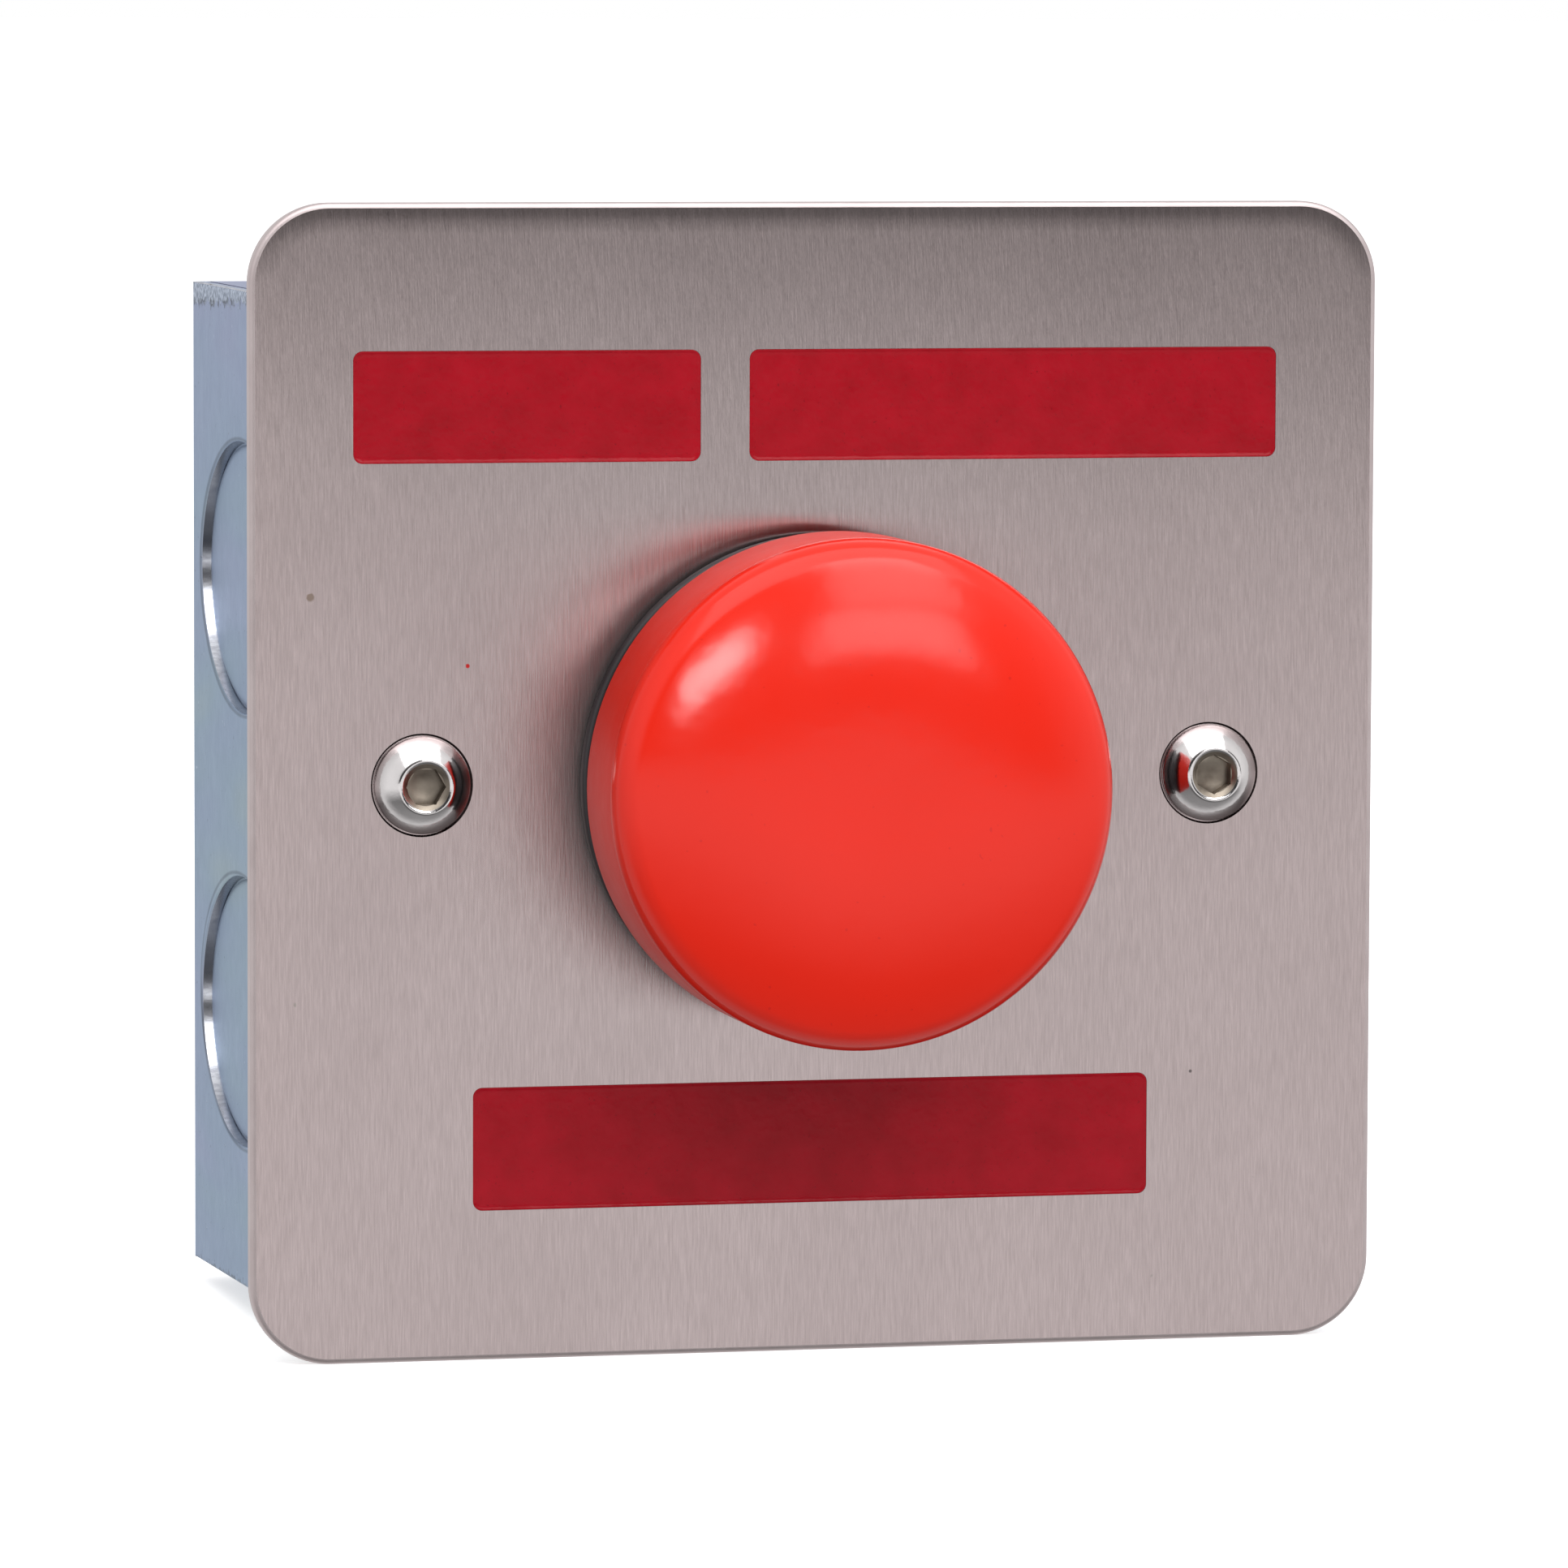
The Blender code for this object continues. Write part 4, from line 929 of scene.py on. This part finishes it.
def make_spring(name, node, radius, wire, y, turns):
    """Coil whose end turns lie flat, from y[0] (fixed end) to y[1]."""
    curve = bpy.data.curves.new(name, "CURVE")
    curve.dimensions = "3D"
    curve.bevel_depth = wire
    curve.bevel_resolution = 4
    curve.use_fill_caps = True
    all_turns = turns + 2 * DEAD_TURNS
    spline = curve.splines.new("POLY")
    spline.points.add(int(all_turns * POINTS_PER_TURN))
    sign = -1 if y[1] < y[0] else 1
    start = y[0] + sign * wire
    end = y[1] - sign * wire
    rise = sign * DEAD_RISE * wire
    for k, point in enumerate(spline.points):
        turn = k / POINTS_PER_TURN
        if turn < DEAD_TURNS:
            along = start + rise * turn
        elif turn > turns + DEAD_TURNS:
            along = end - rise * (all_turns - turn)
        else:
            share = (turn - DEAD_TURNS) / turns
            along = start + rise * DEAD_TURNS + share * (end - start - 2 * rise * DEAD_TURNS)
        a = math.tau * turn
        point.co = (radius * math.cos(a), along, radius * math.sin(a), 1.0)
    holder = in_scene(bpy.data.objects.new(name + "_curve", curve))
    graph = bpy.context.evaluated_depsgraph_get()
    mesh = bpy.data.meshes.new_from_object(holder.evaluated_get(graph))
    mesh.name = name
    bpy.data.objects.remove(holder, do_unlink=True)
    mesh.materials.clear()
    mesh.materials.append(SPRING)
    smooth(mesh, 50)
    spring = in_scene(bpy.data.objects.new(name, mesh))
    stand_in(spring, "spring_steel", node)
    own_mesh(spring)


make_plate()
make_bars()
make_head()
make_bezel()
make_gasket()
make_screw("plate_screw_left_head", "plate_screw_left", -1, 0.0)
make_screw("plate_screw_right_head", "plate_screw_right", 1, math.pi / 6)
make_box()
make_spring("return_spring_coil", "return_spring", 0.0082, 0.0006, (-0.0358, -0.0537), 5)
make_spring("contact_spring_coil", "contact_spring", 0.0029, 0.0003, (-0.0115, -0.0213), 5)

keep(ZINC, "fixed_lug", "adjustable_lug", "lock_washer")
keep(BRASS, "earth_terminal", "fixed_contact_left", "fixed_contact_right", "moving_bridge")
keep(ZINC_SCREW, "terminal_screw_left", "terminal_screw_right", "earth_screw")
keep(ZINC_SCREW, "clamp_washer_left", "clamp_washer_right")
keep(SPRING, "carrier_lock_screw", "carrier_screw_upper", "carrier_screw_lower", "stem_clip")
keep(GREY, "push_stem", "switch_carrier")
keep(BLACK, "clamping_nut")
keep(CREAM, "block_housing", "block_cover")
keep(RED_SATIN, "switch_plunger")


# ---------------------------------------------------------------- studio

WHITE = (1.0, 1.0, 1.0, 1.0)
# every light points here
AIM = (0, -0.05, 0)


def make_floor(size, height):
    """Plain pale floor that the camera sees but that doesn't light the object."""
    look = Look("white_floor", roughness=0.9, Specular_IOR_Level=0.0, Emission_Strength=0.5)
    look.set("Base Color", (0.9, 0.9, 0.9, 1.0))
    look.set("Emission Color", WHITE)
    bm = bmesh.new()
    bmesh.ops.create_grid(bm, x_segments=1, y_segments=1, size=0.5)
    bmesh.ops.scale(bm, vec=(size, size, 1), verts=bm.verts)
    floor = finish_mesh("floor", bm, look.material)
    floor.location = (0, 0, height)
    floor.visible_diffuse = floor.visible_glossy = floor.visible_shadow = False


def area_light(name, location, size, power, turn=0.0):
    """Soft rectangular light, aimed at the object and turned about its own axis."""
    data = bpy.data.lights.new(name, "AREA")
    data.shape = "RECTANGLE"
    data.size = size[0]
    data.size_y = size[1]
    data.energy = power
    lamp = in_scene(bpy.data.objects.new(name, data))
    lamp.location = location
    aim = (Vector(AIM) - Vector(location)).to_track_quat("-Z", "Y").to_matrix()
    lamp.rotation_euler = (aim @ Matrix.Rotation(math.radians(turn), 3, "Z")).to_euler()
    lamp.visible_camera = False
    return lamp


BACK_LEVEL = 0.80
# where the back ends and the sides begin, as the Y part of a direction
BACK_SECTOR = (0.1, -0.3)
# (Z part of a direction, radiance) to the sides
SIDE_LEVELS = ((-1.0, 0.35), (-0.8, 0.3), (-0.5, 0.22), (-0.12, 1.0), (1.0, 1.0))
# where the front sector starts and is full, as the Y part of a direction
FRONT_SECTOR = (-0.55, -0.85)
# the front's levels lean: X part of a direction at which they don't, and lean per unit of X
FRONT_TILT = (0.2, 0.08)
# (Z part of a direction, radiance) in the front sector
FRONT_LEVELS = (
    (-1.0, 0.10),
    (-0.48, 0.12),
    (-0.30, 0.65),
    (-0.19, 1.15),
    (-0.06, 1.10),
    (-0.038, 1.02),
    (-0.013, 0.05),
    (0.20, 0.03),
    (0.55, 0.30),
    (0.85, 0.75),
)


def make_world():
    """White to the camera; to the object, a pale room whose front goes from dark to bright and back."""
    world = bpy.data.worlds.new("studio")
    bpy.context.scene.world = world
    world.use_nodes = True
    tree = world.node_tree
    tree.nodes.clear()
    node = functools.partial(add_node, tree)

    def maths(operation, first, second):
        return node("Math", {0: first, 1: second}, operation=operation).outputs[0]

    def blended(y, sector, before, after):
        inputs = {"Value": y, "From Min": sector[0], "From Max": sector[1], "To Min": before, "To Max": after}
        return node("MapRange", inputs, interpolation_type="SMOOTHSTEP").outputs[0]

    def graded(height, levels):
        """Radiance that follows the Z part of the direction."""
        share = node("MapRange", {"Value": height, "From Min": -1.0, "From Max": 1.0}).outputs[0]
        stops = [((z + 1) / 2, (grey, grey, grey)) for z, grey in levels]
        return fill_ramp(node("ValToRGB", {"Fac": share}), stops)

    x, y, z = node("SeparateXYZ", {"Vector": node("TexCoord").outputs["Generated"]}).outputs
    lean = maths("MULTIPLY", maths("SUBTRACT", x, FRONT_TILT[0]), FRONT_TILT[1])
    front = graded(maths("ADD", z, lean), FRONT_LEVELS)
    around = blended(y, BACK_SECTOR, BACK_LEVEL, graded(z, SIDE_LEVELS))
    strength = blended(y, FRONT_SECTOR, around, front)
    room = node("Background", {"Strength": strength, "Color": WHITE}).outputs[0]
    white = node("Background", {"Strength": 1.0, "Color": WHITE}).outputs[0]
    seen = node("LightPath").outputs["Is Camera Ray"]
    mixed = node("MixShader", {0: seen, 1: room, 2: white}).outputs[0]
    node("OutputWorld", {"Surface": mixed})


make_world()
make_floor(60.0, plate_low.z)
area_light("key_softbox", (0.30, -0.90, 0.68), (0.42, 0.60), 2.6)
area_light("key_strip", (0.31, -1.10, 0.30), (0.40, 0.22), 1.3)
area_light("top_softbox", (0.0, -0.45, 0.85), (1.30, 1.00), 7.2)
# a window's reflection, which only the head shows
hot = area_light("hot_softbox", (-0.245, -1.17, 0.32), (0.30, 0.18), 3.2, turn=24)
only_head = bpy.data.collections.new("head_lights_reach")
only_head.objects.link(bpy.data.objects["button_head_shell"])
hot.light_linking.receiver_collection = only_head


# ---------------------------------------------------------------- camera

CAMERA_PLACE = (-0.1598, -0.7264, 0.0587)
# turned to the right, down, and anticlockwise about its axis, in degrees
CAMERA_YAW, CAMERA_PITCH, CAMERA_ROLL = 13.055, 4.851, 0.19
CAMERA_LENS_MM = 214.9
CAMERA_SENSOR_MM = 36.0


def make_camera():
    yaw, pitch, roll = (math.radians(a) for a in (CAMERA_YAW, CAMERA_PITCH, CAMERA_ROLL))
    forward = Vector((math.sin(yaw) * math.cos(pitch), math.cos(yaw) * math.cos(pitch), -math.sin(pitch)))
    right = Vector((math.cos(yaw), -math.sin(yaw), 0))
    up = right.cross(forward)
    turned_right = right * math.cos(roll) + up * math.sin(roll)
    turned_up = up * math.cos(roll) - right * math.sin(roll)
    data = bpy.data.cameras.new("camera")
    data.sensor_width = CAMERA_SENSOR_MM
    data.lens = CAMERA_LENS_MM
    data.clip_start = 0.01
    data.clip_end = 50.0
    camera = in_scene(bpy.data.objects.new("camera", data))
    basis = Matrix((turned_right, turned_up, -forward)).transposed().to_4x4()
    camera.matrix_world = Matrix.Translation(CAMERA_PLACE) @ basis
    bpy.context.scene.camera = camera


make_camera()
bpy.context.scene.view_settings.view_transform = "Standard"
